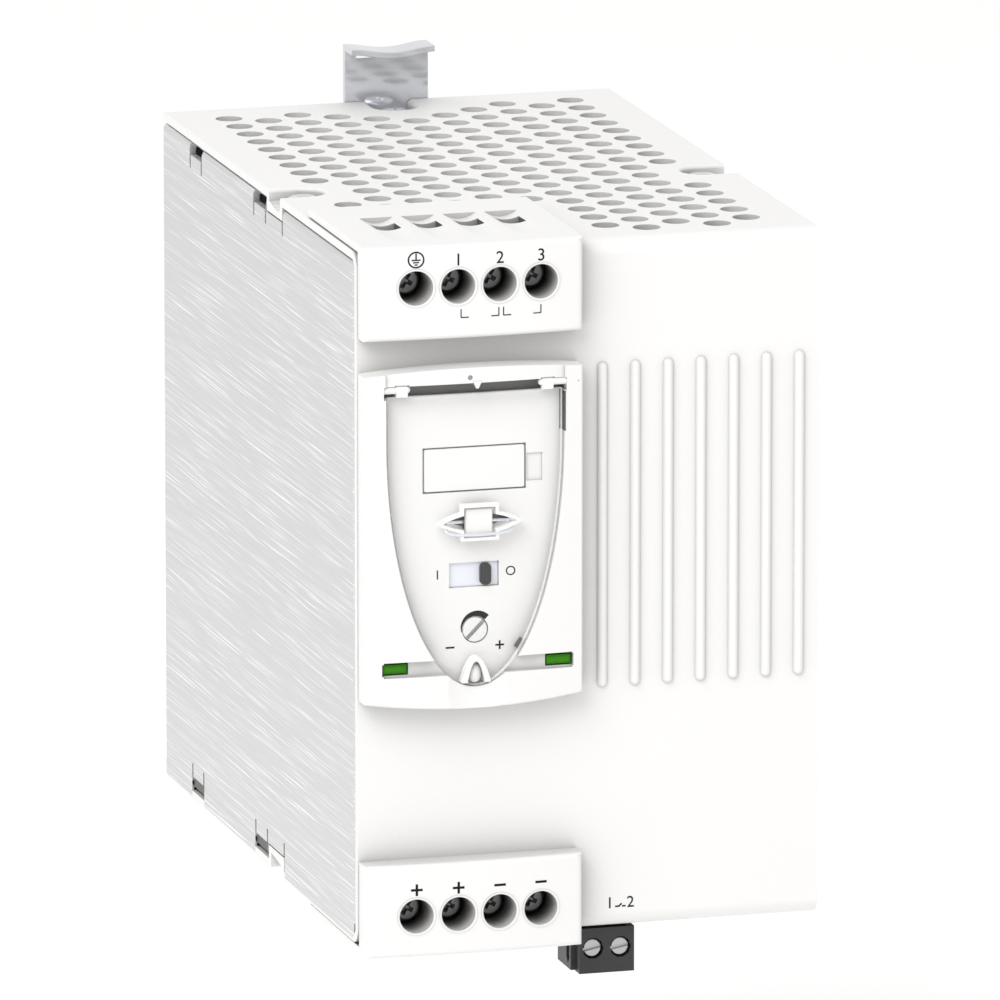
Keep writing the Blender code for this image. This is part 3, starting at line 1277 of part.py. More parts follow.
def build_flap():
    """Build the flap: a bowed sheet with a rounded outline, a sealing opening, a grip and two hinge ears."""
    top = HINGE_Z - FLAP_TOP_DROP
    tip = RECESS_TOP - RECESS_HEIGHT + FLAP_GAP
    columns = recess_curve(FLAP_GAP)
    rings = []
    for x, z in columns:
        front = FRONT_Y - bow(x) + FLAP_SINK
        back = front + FLAP_SHEET
        rings.append([(x, front, z), (x, front, top), (x, back, top), (x, back, z)])
    shape = bmesh.new()
    add_rings(shape, rings)
    pivot = (PARTS_X, HINGE_Y, HINGE_Z)
    flap = make("front_flap", shape, "clear_plastic", pivot)

    ears = bmesh.new()
    for side in (-1, 1):
        places = ear_place(side)
        flat = arc(HINGE_Y, HINGE_Z, EAR_RADIUS, 0, 180, 6)
        foot = top - 2 * UNION_OVERLAP
        outer = FRONT_Y - bow(places[0]) + FLAP_SINK + GAP
        ear = flat + [(HINGE_Y - EAR_RADIUS, HINGE_Z - GAP), (outer, foot), (outer + FLAP_SHEET / 2, foot)]
        add_prism(ears, ear, "X", places[0], places[1])
    combine(flap, "UNION", ears)

    grip = bmesh.new()
    grip_z = tip + GRIP_HEIGHT / 2 + GAP
    grip_front = FRONT_Y - bow(PARTS_X) + FLAP_SINK
    bump = [(PARTS_X + GRIP_WIDTH / 2 * u, grip_z + GRIP_HEIGHT / 2 * v) for u, v in circle(0, 0, 2, 12)]
    add_prism(grip, bump, "Y", grip_front - GRIP_PROUD, grip_front + FLAP_SHEET / 2)
    combine(flap, "UNION", grip)

    cuts = bmesh.new()
    ahead = FRONT_Y - 3 * MODULE_END_PROUD
    add_prism(cuts, seal_outline(2 * GAP), "Y", ahead, FRONT_Y)
    bore = circle(HINGE_Y, HINGE_Z, PIN_DIAMETER + 2 * GAP, SCREW_SIDES)
    for side in (-1, 1):
        places = ear_place(side)
        add_prism(cuts, bore, "X", places[0] - GAP, places[1] + GAP)
    combine(flap, "DIFFERENCE", cuts)

    slot_half = RECESS_WIDTH / 2 + FLAP_GAP
    for name, side in (("flap_pin_left", -1), ("flap_pin_right", 1)):
        start = PARTS_X + side * (slot_half + PIN_SEAT)
        shape = bmesh.new()
        profile = [(start, PIN_DIAMETER), (start - side * PIN_LENGTH, PIN_DIAMETER)]
        profile.append((start - side * (PIN_LENGTH + PIN_DIAMETER / 2), PIN_DIAMETER / 3))
        add_turned(shape, "X", HINGE_Y, HINGE_Z, profile, SCREW_SIDES)
        make(name, shape, "white_moulding", (start, HINGE_Y, HINGE_Z), smooth=True)


def build_seal_ring():
    """Build the wire ring that passes through the sealing staple and hangs in front of it."""
    x, z = seal_centre()
    wire = RING_WIRE / 2
    front = FLOOR_Y - STAPLE_PROUD - GAP - wire
    rear = FLOOR_Y - STAPLE_TUNNEL / 2
    middle = (front + rear) / 2
    reach = (rear - front) / 2
    rows = []
    shape = bmesh.new()
    for index in range(RING_POINTS):
        angle = 2 * math.pi * index / RING_POINTS
        along = Vector((math.cos(angle), 0.0, 0.0))
        square = math.copysign(abs(math.sin(angle)) ** 0.25, math.sin(angle))
        sag = RING_SAG * min(0.0, square) ** 2
        centre = Vector((x + RING_SPAN / 2 * along.x, middle + reach * square, z - sag))
        outwards = Vector((math.cos(angle), math.sin(angle), 0.0))
        row = []
        for corner in range(RING_SIDES):
            turn = 2 * math.pi * corner / RING_SIDES
            place = centre + wire * (math.cos(turn) * outwards + math.sin(turn) * Vector((0.0, 0.0, 1.0)))
            row.append(shape.verts.new(place))
        rows.append(row)
    for index in range(RING_POINTS):
        after = rows[(index + 1) % RING_POINTS]
        for corner in range(RING_SIDES):
            beside = (corner + 1) % RING_SIDES
            shape.faces.new((rows[index][corner], rows[index][beside], after[beside], after[corner]))
    make("seal_ring", shape, "bright_steel", smooth=True)


def build_controls():
    """Build the label card, slide switch, trimmer, light guides and the board behind them."""
    card_z = BEZEL_TOP - CARD_DOWN
    front = FLOOR_Y - CARD_PROUD
    shape = bmesh.new()
    low = (PARTS_X + CARD_RIGHT - CARD_WIDTH / 2, front, card_z - CARD_HEIGHT / 2)
    right = PARTS_X + CARD_RIGHT + CARD_WIDTH / 2
    add_box(shape, low, (right, front + CARD_THICKNESS, card_z + CARD_HEIGHT / 2))
    make("label_card", shape, "card")

    switch_x = PARTS_X + SWITCH_RIGHT
    switch_z = BEZEL_TOP - SWITCH_DOWN
    body_front = FRONT_Y + GAP
    knob_x = switch_x + KNOB_REST
    foot_y = body_front + KNOB_FOOT_DEPTH
    body_back = CONTROL_Y - GAP
    wide = SWITCH_WINDOW_WIDTH / 2 + SWITCH_BODY_MARGIN
    tall = SWITCH_WINDOW_HEIGHT / 2 + SWITCH_BODY_MARGIN
    shape = bmesh.new()
    low = (switch_x - wide, body_front, switch_z - tall)
    add_box(shape, low, (switch_x + wide, body_back, switch_z + tall))
    body = make("switch_body", shape, "pale_plastic")
    slot = bmesh.new()
    slot_half = KNOB_FOOT_HEIGHT / 2 + RUNNING_GAP
    low = (switch_x - SWITCH_WINDOW_WIDTH / 2, body_front - CUT_OVERRUN, switch_z - slot_half)
    add_box(slot, low, (switch_x + SWITCH_WINDOW_WIDTH / 2, foot_y + RUNNING_GAP, switch_z + slot_half))
    combine(body, "DIFFERENCE", slot)

    shape = bmesh.new()
    cap_back = body_front - 2 * RUNNING_GAP
    cap = rectangle(knob_x - KNOB_WIDTH / 2, -KNOB_HEIGHT / 2, knob_x + KNOB_WIDTH / 2, KNOB_HEIGHT / 2)
    add_prism(shape, [(x, switch_z + z) for x, z in cap], "Y", FLOOR_Y - KNOB_PROUD, cap_back)
    pivot = (knob_x, cap_back, switch_z)
    knob = make("switch_knob", shape, "black_plastic", pivot)
    foot = bmesh.new()
    low = (knob_x - KNOB_WIDTH / 2 + GAP, cap_back - UNION_OVERLAP, switch_z - KNOB_FOOT_HEIGHT / 2)
    add_box(foot, low, (knob_x + KNOB_WIDTH / 2 - GAP, foot_y, switch_z + KNOB_FOOT_HEIGHT / 2))
    combine(knob, "UNION", foot)

    dial_x = PARTS_X + TRIMMER_RIGHT
    dial_z = BEZEL_TOP - TRIMMER_DOWN
    dial_front = FLOOR_Y - TRIMMER_PROUD
    dial_back = dial_front + TRIMMER_LENGTH
    shank_end = body_front + TRIMMER_SHANK_DEPTH
    profile = [
        (dial_front, TRIMMER_DIAMETER), (dial_back, TRIMMER_DIAMETER), (dial_back, TRIMMER_SHANK),
        (shank_end, TRIMMER_SHANK),
    ]
    shape = bmesh.new()
    add_turned(shape, "Y", dial_x, dial_z, profile, TRIMMER_SIDES)
    dial = make("trimmer_screw", shape, "pale_plastic", (dial_x, dial_front, dial_z), smooth=True)
    slot = bmesh.new()
    reach = TRIMMER_DIAMETER / math.sqrt(2)
    side = TRIMMER_SLOT / (2 * math.sqrt(2))
    outline = [
        (dial_x - reach + side, dial_z - reach - side), (dial_x + reach + side, dial_z + reach - side),
        (dial_x + reach - side, dial_z + reach + side), (dial_x - reach - side, dial_z - reach + side),
    ]
    add_prism(slot, outline, "Y", dial_front - CUT_OVERRUN, dial_front + TRIMMER_SLOT_DEPTH)
    combine(dial, "DIFFERENCE", slot)

    shape = bmesh.new()
    half = TRIMMER_BODY / 2
    low = (dial_x - half, body_front, dial_z - half)
    add_box(shape, low, (dial_x + half, body_back, dial_z + half))
    body = make("trimmer_body", shape, "pale_plastic")
    bore = bmesh.new()
    outline = circle(dial_x, dial_z, TRIMMER_SHANK + 2 * RUNNING_GAP, SCREW_SIDES)
    add_prism(bore, outline, "Y", body_front - CUT_OVERRUN, shank_end + GAP)
    combine(body, "DIFFERENCE", bore)

    light_z = BEZEL_TOP - LIGHT_DOWN
    light_front = FRONT_Y - MODULE_END_PROUD + GROOVE_DEPTH
    for name, x in zip(("light_guide_left", "light_guide_right"), light_places()):
        shape = bmesh.new()
        low = (x - LIGHT_WIDTH / 2, light_front, light_z - LIGHT_HEIGHT / 2)
        add_box(shape, low, (x + LIGHT_WIDTH / 2, CONTROL_Y - GAP, light_z + LIGHT_HEIGHT / 2))
        make(name, shape, "green_window")

    shape = bmesh.new()
    left, right, _ = block_aperture()
    margin = CONTROL_BOARD_MARGIN
    low = (left - margin / 2, CONTROL_Y, BEZEL_BOTTOM + margin)
    add_box(shape, low, (right + margin / 2, CONTROL_Y + BOARD_SHEET, BEZEL_TOP - margin))
    make("control_board", shape, "board")


def relay_places():
    """Return the X of the two relay poles."""
    return RELAY_X - RELAY_PITCH / 2, RELAY_X + RELAY_PITCH / 2


def relay_depths():
    """Return the Y of what lies along a relay plug screw."""
    head_front = RELAY_FRONT_Y + RELAY_SCREW_SINK
    head_back = head_front + RELAY_SCREW_HEAD_LENGTH
    bay_front = head_back + GAP + RELAY_SCREW_WEB
    clamp_front = bay_front + RUNNING_GAP + RELAY_CLAMP_TRAVEL
    tip = clamp_front + RELAY_CLAMP_WALL + 2 * GAP
    wire_front = tip + GAP
    wire_back = wire_front + RELAY_WIRE_SPACE
    clamp_back = wire_back + GAP + RELAY_CLAMP_WALL
    return {
        "head_front": head_front, "head_back": head_back, "bay_front": bay_front, "clamp_front": clamp_front,
        "tip": tip, "wire_front": wire_front, "wire_back": wire_back, "clamp_back": clamp_back,
    }


def build_relay_plug():
    """Build the relay plug: face, wider flank, nose, wire entries, clamp bays and screw holes."""
    half = RELAY_WIDTH / 2
    bottom = BASE_Z - RELAY_DROP
    top = BASE_Z - RELAY_TOP_DROP
    flank = half + RELAY_FLANK
    shape = bmesh.new()
    face_back = RELAY_FRONT_Y + RELAY_FACE_DEPTH
    add_box(shape, (RELAY_X - half, RELAY_FRONT_Y, bottom), (RELAY_X + half, face_back + UNION_OVERLAP, top))
    plug = make("relay_plug", shape, "black_plastic", (RELAY_X, RELAY_FRONT_Y, top))

    body = bmesh.new()
    low = (RELAY_X - flank, face_back, bottom + RELAY_KEEL)
    add_box(body, low, (RELAY_X + half - GAP, RELAY_BACK_Y, top - GAP))
    combine(plug, "UNION", body)
    added = bmesh.new()
    inset = RELAY_NOSE_INSET
    low = (RELAY_X - half + inset, RELAY_FRONT_Y + inset, top - UNION_OVERLAP)
    add_box(added, low, (RELAY_X + half - inset, RELAY_BACK_Y - inset, BASE_Z + RELAY_NOSE_HEIGHT))
    combine(plug, "UNION", added)

    ridge_y = (RELAY_FRONT_Y + RELAY_BACK_Y) / 2
    depths = relay_depths()
    screw_z = BASE_Z - RELAY_SCREW_DROP
    bay = RELAY_CLAMP_WIDTH / 2 + RUNNING_GAP
    tall = RELAY_CLAMP_HEIGHT / 2 + RUNNING_GAP
    wide = RELAY_CLAMP_WIDTH / 2 - RELAY_CLAMP_WALL
    cuts = bmesh.new()
    bores = bmesh.new()
    for x in relay_places():
        low = (x - bay, depths["bay_front"], screw_z - tall)
        add_box(cuts, low, (x + bay, depths["clamp_back"] + RUNNING_GAP, screw_z + tall))
        low = (x - wide, depths["wire_front"], bottom - CUT_OVERRUN)
        add_box(bores, low, (x + wide, depths["wire_back"], screw_z - tall + GAP))
        hole = circle(x, screw_z, RELAY_SCREW_HEAD + 2 * RUNNING_GAP, SCREW_SIDES)
        add_prism(cuts, hole, "Y", RELAY_FRONT_Y - CUT_OVERRUN, depths["head_back"] + GAP)
        bore = circle(x, screw_z, RELAY_SCREW_SHANK + 2 * RUNNING_GAP, SCREW_SIDES)
        add_prism(bores, bore, "Y", depths["head_back"], depths["bay_front"] + GAP)
        pin = RELAY_SHROUD_WALL / 2 + GAP
        low = (x - pin, ridge_y - pin, BASE_Z + GAP)
        add_box(bores, low, (x + pin, ridge_y + pin, BASE_Z + RELAY_NOSE_HEIGHT + CUT_OVERRUN))
    combine(plug, "DIFFERENCE", cuts)
    combine(plug, "DIFFERENCE", bores)


def build_relay():
    """Build the relay header in the case's bottom, the plug below it, and the plug's screws and clamps."""
    half = RELAY_WIDTH / 2 + RELAY_SHROUD_WALL
    wall = RELAY_SHROUD_WALL
    roof = BASE_Z + RELAY_SHROUD_HEIGHT
    shape = bmesh.new()
    low = (RELAY_X - half, RELAY_FRONT_Y - wall, BASE_Z + GAP)
    add_box(shape, low, (RELAY_X + half, RELAY_BACK_Y + wall, roof))
    header = make("relay_header", shape, "black_plastic")
    pocket = bmesh.new()
    inset = RELAY_NOSE_INSET - 2 * RUNNING_GAP
    side = RELAY_WIDTH / 2 - inset
    low = (RELAY_X - side, RELAY_FRONT_Y + inset, BASE_Z - CUT_OVERRUN)
    high = (RELAY_X + side, RELAY_BACK_Y - inset, BASE_Z + RELAY_NOSE_HEIGHT + 2 * RUNNING_GAP)
    add_box(pocket, low, high)
    combine(header, "DIFFERENCE", pocket)
    added = bmesh.new()
    ridge_y = (RELAY_FRONT_Y + RELAY_BACK_Y) / 2
    for x in relay_places():
        pin = wall / 2
        low = (x - pin, ridge_y - pin, BASE_Z + 3 * GAP)
        add_box(added, low, (x + pin, ridge_y + pin, high[2] + UNION_OVERLAP))
    low = (RELAY_X - side, RELAY_BACK_Y + wall - UNION_OVERLAP, BASE_Z + RELAY_SHROUD_HEIGHT / 2)
    add_box(added, low, (RELAY_X + side, FRONT_BOARD_Y - GAP, roof - GAP))
    combine(header, "UNION", added)

    build_relay_plug()
    depths = relay_depths()
    z = BASE_Z - RELAY_SCREW_DROP
    head = depths["head_front"]
    profile = [
        (head, RELAY_SCREW_HEAD), (depths["head_back"], RELAY_SCREW_HEAD),
        (depths["head_back"], RELAY_SCREW_SHANK),
        (depths["tip"], RELAY_SCREW_SHANK),
    ]
    clamp_y = (depths["clamp_front"], depths["clamp_back"])
    for index, x in enumerate(relay_places(), 1):
        screw = headed_screw(f"relay_screw_{index}", "Y", x, z, profile, "bright_steel", (x, head, z))
        slot = bmesh.new()
        angle = math.radians(RELAY_SLOT_TURN)
        along = (RELAY_SCREW_HEAD * math.cos(angle), RELAY_SCREW_HEAD * math.sin(angle))
        aside = (-RELAY_SLOT / 2 * math.sin(angle), RELAY_SLOT / 2 * math.cos(angle))
        signs = ((-1, -1), (1, -1), (1, 1), (-1, 1))
        outline = [(x + i * along[0] + j * aside[0], z + i * along[1] + j * aside[1]) for i, j in signs]
        add_prism(slot, outline, "Y", head - CUT_OVERRUN, head + RELAY_SLOT_DEPTH)
        combine(screw, "DIFFERENCE", slot)
        size = (RELAY_CLAMP_WIDTH, RELAY_CLAMP_HEIGHT)
        walls = (RELAY_CLAMP_WALL, RELAY_CLAMP_WALL)
        bore = RELAY_SCREW_SHANK + 2 * RUNNING_GAP
        build_clamp(f"relay_clamp_{index}", x, clamp_y, z, size, walls, bore, (x, clamp_y[0], z))


def build_boards():
    """Build the front board behind the terminal blocks and the main board on the right panel."""
    shape = bmesh.new()
    left, _, _ = block_aperture()
    low = (left, FRONT_BOARD_Y, BASE_Z + FRONT_BOARD_MARGIN)
    add_box(shape, low, (left + FRONT_BOARD_WIDTH, FRONT_BOARD_Y + BOARD_SHEET, TOP_Z - FRONT_BOARD_MARGIN))
    make("front_board", shape, "board")
    shape = bmesh.new()
    y_range, z_range = main_board_box()
    low = (MAIN_BOARD_X, y_range[0], z_range[0])
    add_box(shape, low, (MAIN_BOARD_X + BOARD_SHEET, y_range[1], z_range[1]))
    make("main_board", shape, "board")


def build_transformer(y, z):
    """Build a shell-type transformer core with its winding, standing on the main board."""
    half = CORE_SIZE / 2
    legs = CORE_LEG / 2
    low_x = PART_FACE_X - CORE_DEPTH
    shape = bmesh.new()
    add_box(shape, (low_x, y - half, z - half), (PART_FACE_X, y + half, z + half))
    core = make("transformer_core", shape, "ferrite")
    windows = bmesh.new()
    tall = half - CORE_LEG
    for side in (-1, 1):
        places = sorted((y + side * legs, y + side * (legs + CORE_WINDOW)))
        low = (low_x - CUT_OVERRUN, places[0], z - tall)
        add_box(windows, low, (PART_FACE_X + CUT_OVERRUN, places[1], z + tall))
    combine(core, "DIFFERENCE", windows)

    bulge = legs + CORE_WINDOW - GAP
    reach = WINDING_WALL + CORE_WINDOW - 2 * GAP
    shape = bmesh.new()
    tall -= GAP
    low_bound = low_x - reach
    low = (low_bound, y - bulge, z - tall)
    add_box(shape, low, (PART_FACE_X - 2 * GAP, y + bulge, z + tall))
    winding = make("transformer_winding", shape, "winding")
    bevel = winding.modifiers.new("rounded", "BEVEL")
    bevel.width = WINDING_WALL
    bevel.segments = 2
    bevel.limit_method = "ANGLE"
    bore = bmesh.new()
    low = (low_x - GAP, y - legs - GAP, z - half)
    add_box(bore, low, (PART_FACE_X + CUT_OVERRUN, y + legs + GAP, z + half))
    combine(winding, "DIFFERENCE", bore)


def build_can(name, diameter, length, y, z):
    """Build a capacitor that stands on the main board."""
    end = PART_FACE_X - length
    rim = 0.06 * diameter
    profile = [(PART_FACE_X, diameter), (end + rim, diameter), (end, diameter - 2 * rim)]
    shape = bmesh.new()
    add_turned(shape, "X", y, z, profile, CAPACITOR_SIDES)
    make(name, shape, "capacitor_sleeve", smooth=True)


def build_heat_sink():
    """Build the finned heat sink that stands against the left panel."""
    low_x = LEFT_X + PANEL_SHEET + GAP
    front = FRONT_BOARD_Y + BOARD_SHEET + MAIN_BOARD_MARGIN
    middle = (BASE_Z + TOP_Z) / 2
    pitch = (SINK_HEIGHT - SINK_FIN) / (SINK_FINS - 1)
    base = low_x + SINK_BASE
    outline = [(low_x, middle + SINK_HEIGHT / 2), (low_x, middle - SINK_HEIGHT / 2)]
    for index in range(SINK_FINS):
        z = middle - SINK_HEIGHT / 2 + index * pitch
        tip = base + SINK_FIN_HEIGHT
        if index > 0:
            outline.append((base, z))
        outline += [(tip, z), (tip, z + SINK_FIN)]
        if index < SINK_FINS - 1:
            outline.append((base, z + SINK_FIN))
    shape = bmesh.new()
    add_prism(shape, outline, "Y", front, front + SINK_LENGTH)
    make("heat_sink", shape, "aluminium")


def build_choke(y, z):
    """Build the ring-shaped line choke, lying on the main board."""
    base = PART_FACE_X
    top = base - CHOKE_HEIGHT
    shape = bmesh.new()
    rows = []
    profile = ((base, CHOKE_DIAMETER), (top, CHOKE_DIAMETER), (top, CHOKE_BORE), (base, CHOKE_BORE))
    for place, diameter in profile:
        ring = circle(y, z, diameter, CHOKE_SIDES)
        rows.append([shape.verts.new(on_axis("X", *point, place)) for point in ring])
    for near_row, far_row in zip(rows, rows[1:] + rows[:1]):
        for index in range(CHOKE_SIDES):
            after = (index + 1) % CHOKE_SIDES
            shape.faces.new((near_row[index], near_row[after], far_row[after], far_row[index]))
    make("line_choke", shape, "winding", smooth=True)


def build_converter():
    """Build the parts that stand on the main board, and the heat sink."""
    y_range, z_range = main_board_box()
    middle = (z_range[0] + z_range[1]) / 2
    edge = STANDOFF_DIAMETER / 2
    core_y = y_range[1] - STANDOFF_DIAMETER - CORE_SIZE / 2
    build_transformer(core_y, middle)
    can_y = y_range[0] + STANDOFF_DIAMETER + CAPACITOR_DIAMETER / 2
    spread = CAPACITOR_DIAMETER / 2 + edge
    build_can("bulk_capacitor_1", CAPACITOR_DIAMETER, CAPACITOR_LENGTH, can_y, middle + spread)
    build_can("bulk_capacitor_2", CAPACITOR_DIAMETER, CAPACITOR_LENGTH, can_y, middle - spread)
    choke_z = z_range[1] - edge - CHOKE_DIAMETER / 2
    build_choke(core_y, choke_z)
    build_heat_sink()
    shape = bmesh.new()
    left, _, _ = block_aperture()
    foot_z = BASE_Z + FRONT_BOARD_MARGIN + ALARM_FOOT
    low = (left + FRONT_BOARD_WIDTH - ALARM_WIDTH, FRONT_BOARD_Y + BOARD_SHEET + GAP, foot_z)
    add_box(shape, low, (low[0] + ALARM_WIDTH, low[1] + ALARM_HEIGHT, low[2] + ALARM_LENGTH))
    make("alarm_relay", shape, "black_plastic")


def main():
    """Build every piece of the power supply."""
    clear_scene()
    build_cover()
    build_panels()
    build_rear_plate()
    build_bracket()
    build_latch()
    build_spring()
    build_case_screws()
    build_block("upper_terminal_block", True)
    build_block("lower_terminal_block", False)
    build_terminals("upper", True)
    build_terminals("lower", False)
    build_bezel()
    build_flap()
    build_seal_ring()
    build_controls()
    build_relay()
    build_boards()
    build_converter()


main()
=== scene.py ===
"""Dress the DIN rail power supply: modelled pieces, finishes, marks, camera and light."""

import logging
import math
from dataclasses import dataclass
from enum import Enum
from typing import Callable, Sequence

import bpy
from mathutils import Matrix, Vector


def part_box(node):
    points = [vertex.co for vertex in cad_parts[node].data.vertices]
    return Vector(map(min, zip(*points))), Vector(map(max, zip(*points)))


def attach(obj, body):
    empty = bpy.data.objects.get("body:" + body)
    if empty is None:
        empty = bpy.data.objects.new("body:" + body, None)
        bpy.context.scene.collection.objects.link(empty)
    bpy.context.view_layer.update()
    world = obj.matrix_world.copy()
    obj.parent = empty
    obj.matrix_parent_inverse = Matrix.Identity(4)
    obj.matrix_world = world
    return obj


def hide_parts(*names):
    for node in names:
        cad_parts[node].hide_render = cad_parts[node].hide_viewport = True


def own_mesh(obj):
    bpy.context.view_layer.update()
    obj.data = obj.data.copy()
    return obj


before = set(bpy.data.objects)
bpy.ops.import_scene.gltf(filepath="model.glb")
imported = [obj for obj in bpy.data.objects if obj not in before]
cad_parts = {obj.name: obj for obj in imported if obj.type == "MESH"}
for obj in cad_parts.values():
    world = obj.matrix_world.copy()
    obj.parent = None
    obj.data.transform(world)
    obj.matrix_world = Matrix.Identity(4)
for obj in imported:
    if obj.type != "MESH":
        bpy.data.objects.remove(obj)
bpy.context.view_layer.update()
LOG = logging.getLogger("power_supply")

Colour = tuple[float, float, float]
Flat = tuple[float, float]
Point = tuple[float, float, float]
Piece = bpy.types.Object
Curve = Callable[[float], float]


class Axis(Enum):
    """A direction that a rod or a plate runs along."""

    X = 0
    Y = 1
    Z = 2

    def at(self, u: float, v: float, along: float) -> Vector:
        """Return the point at (u, v) across the axis and at a distance along it."""
        return Vector(((along, u, v), (u, along, v), (u, v, along))[self.value])

    def turn(self) -> Point:
        """Return the turn that lays an upright rod along the axis."""
        return ((0.0, math.pi / 2, 0.0), (math.pi / 2, 0.0, 0.0), (0.0, 0.0, 0.0))[self.value]


class Pick(Enum):
    """What a test selects in edit mode."""

    POINTS = (True, False, False)
    EDGES = (False, True, False)
    FACES = (False, False, True)


class Join(Enum):
    """How a tool changes a piece."""

    CUT = "DIFFERENCE"
    WELD = "UNION"


@dataclass(frozen=True)
class Datum:
    """The planes, axes and clearances that the sub-assemblies share, in metres."""

    left: float = -0.0425
    right: float = 0.0425
    front: float = -0.1374
    back: float = -0.0034
    top: float = 0.059
    base: float = -0.066
    gap: float = 0.0003
    over: float = 0.002
    ahead: float = -0.150
    module_left: float = -0.0423
    module_right: float = -0.0023
    end_proud: float = 0.0042
    bow_rise: float = 0.001
    bezel_top: float = 0.0375
    bezel_bottom: float = -0.0215
    floor: float = -0.1398
    parts_x: float = -0.0221
    hinge_y: float = -0.141
    hinge_z: float = 0.0349

    def face(self, x: float) -> float:
        """Return the Y of the bowed front at x."""
        middle = (self.module_left + self.module_right) / 2
        reach = (x - middle) / (self.module_right - middle)
        return self.front - self.end_proud - self.bow_rise * (1 - reach * reach)

    def lean(self, x: float) -> float:
        """Return the turn about Z of the bowed front at x."""
        step = 0.0001
        return math.atan2(self.face(x + step) - self.face(x - step), 2 * step)


DATUM = Datum()


def near(value: float, target: float, within: float = 2e-5) -> bool:
    """Tell whether two lengths agree within a tolerance."""
    return abs(value - target) < within


def everything(*_: object) -> bool:
    """Accept any point, edge or face."""
    return True


def arc(u: float, v: float, radius: float, start: float, end: float, steps: int) -> list[Flat]:
    """Return points along an arc.

    Args:
        u: Centre across.
        v: Centre up.
        radius: Radius of the arc.
        start: First angle in degrees.
        end: Last angle in degrees.
        steps: Number of chords.

    Returns:
        The points, both ends included.
    """
    angles = (math.radians(start + (end - start) * index / steps) for index in range(steps + 1))
    return [(u + radius * math.cos(angle), v + radius * math.sin(angle)) for angle in angles]


def pick_up(piece: Piece) -> None:
    """Select one piece alone and make it active."""
    bpy.ops.object.select_all(action="DESELECT")
    piece.select_set(True)
    bpy.context.view_layer.objects.active = piece


def christen(name: str) -> Piece:
    """Name the newest piece and set its place into its mesh."""
    piece = bpy.context.active_object
    piece.name = name
    piece.data.name = name
    bpy.ops.object.transform_apply(location=True, rotation=True, scale=True)
    return piece


def edit(piece: Piece, kind: Pick, test: Callable[..., bool], *actions: Callable[[], object]) -> int:
    """Select parts of a mesh by a test and run edit-mode actions on them.

    Args:
        piece: The piece to work on.
        kind: What the test is given: a point, an edge's two ends, or a face's middle and normal.
        test: Says which parts are taken.
        actions: Operators to run in order.

    Returns:
        How many parts were taken.
    """
    pick_up(piece)
    mesh = piece.data
    for group in (mesh.vertices, mesh.edges, mesh.polygons):
        group.foreach_set("select", [False] * len(group))
    if kind is Pick.POINTS:
        taken = [point for point in mesh.vertices if test(point.co)]
    elif kind is Pick.EDGES:
        ends = mesh.vertices
        taken = [edge for edge in mesh.edges if test(ends[edge.vertices[0]].co, ends[edge.vertices[1]].co)]
    else:
        taken = [face for face in mesh.polygons if test(face.center, face.normal)]
    for part in taken:
        part.select = True
    bpy.context.tool_settings.mesh_select_mode = kind.value
    bpy.ops.object.mode_set(mode="EDIT")
    for action in actions:
        action()
    bpy.ops.object.mode_set(mode="OBJECT")
    return len(taken)


def face_outwards(piece: Piece) -> None:
    """Merge doubled points and turn every face outwards."""
    edit(
        piece, Pick.FACES, everything,
        lambda: bpy.ops.mesh.remove_doubles(threshold=1e-7),
        lambda: bpy.ops.mesh.normals_make_consistent(inside=False),
    )


def cap_ends(piece: Piece) -> None:
    """Close the open ends of a tube."""
    edit(piece, Pick.EDGES, everything, lambda: bpy.ops.mesh.fill_holes(sides=0))


def extrude(shift: Sequence[float]) -> Callable[[], object]:
    """Return an edit-mode action that extrudes what is selected."""
    return lambda: bpy.ops.mesh.extrude_region_move(TRANSFORM_OT_translate={"value": tuple(shift)})


def round_edges(piece: Piece, test: Callable[..., bool], width: float, segments: int) -> int:
    """Round the edges that a test takes, and return how many there were."""
    return edit(
        piece, Pick.EDGES, test,
        lambda: bpy.ops.mesh.bevel(
            offset=width, offset_type="OFFSET", segments=segments, profile=0.5, affect="EDGES",
            clamp_overlap=True,
        ),
    )


def shape_with(piece: Piece, kind: str, **settings: object) -> None:
    """Apply one modifier to a piece."""
    pick_up(piece)
    modifier = piece.modifiers.new(kind.lower(), kind)
    for key, value in settings.items():
        setattr(modifier, key, value)
    bpy.ops.object.modifier_apply(modifier=modifier.name)


def gather(tools: Sequence[Piece]) -> Piece:
    """Join several pieces into the first."""
    pick_up(tools[0])
    for tool in tools[1:]:
        tool.select_set(True)
    if len(tools) > 1:
        bpy.ops.object.join()
    return tools[0]


def work(piece: Piece, tools: Sequence[Piece], join: Join) -> None:
    """Cut a piece by tools that don't touch each other, or weld them on, and put the tools away."""
    tool = gather(tools)
    shape_with(piece, "BOOLEAN", operation=join.value, solver="EXACT", object=tool)
    bpy.data.objects.remove(tool)


def ease(piece: Piece, width: float, segments: int = 2, angle: float = 40.0) -> None:
    """Take the sharpness off every edge of a piece."""
    shape_with(
        piece, "BEVEL", width=width, segments=segments, limit_method="ANGLE", angle_limit=math.radians(angle),
        use_clamp_overlap=True,
    )


def polish(piece: Piece, angle: float = 32.0) -> Piece:
    """Shade a piece smoothly but for its sharp edges."""
    pick_up(piece)
    bpy.ops.object.shade_smooth_by_angle(angle=math.radians(angle))
    shape_with(piece, "WEIGHTED_NORMAL", keep_sharp=True, weight=50)
    return piece


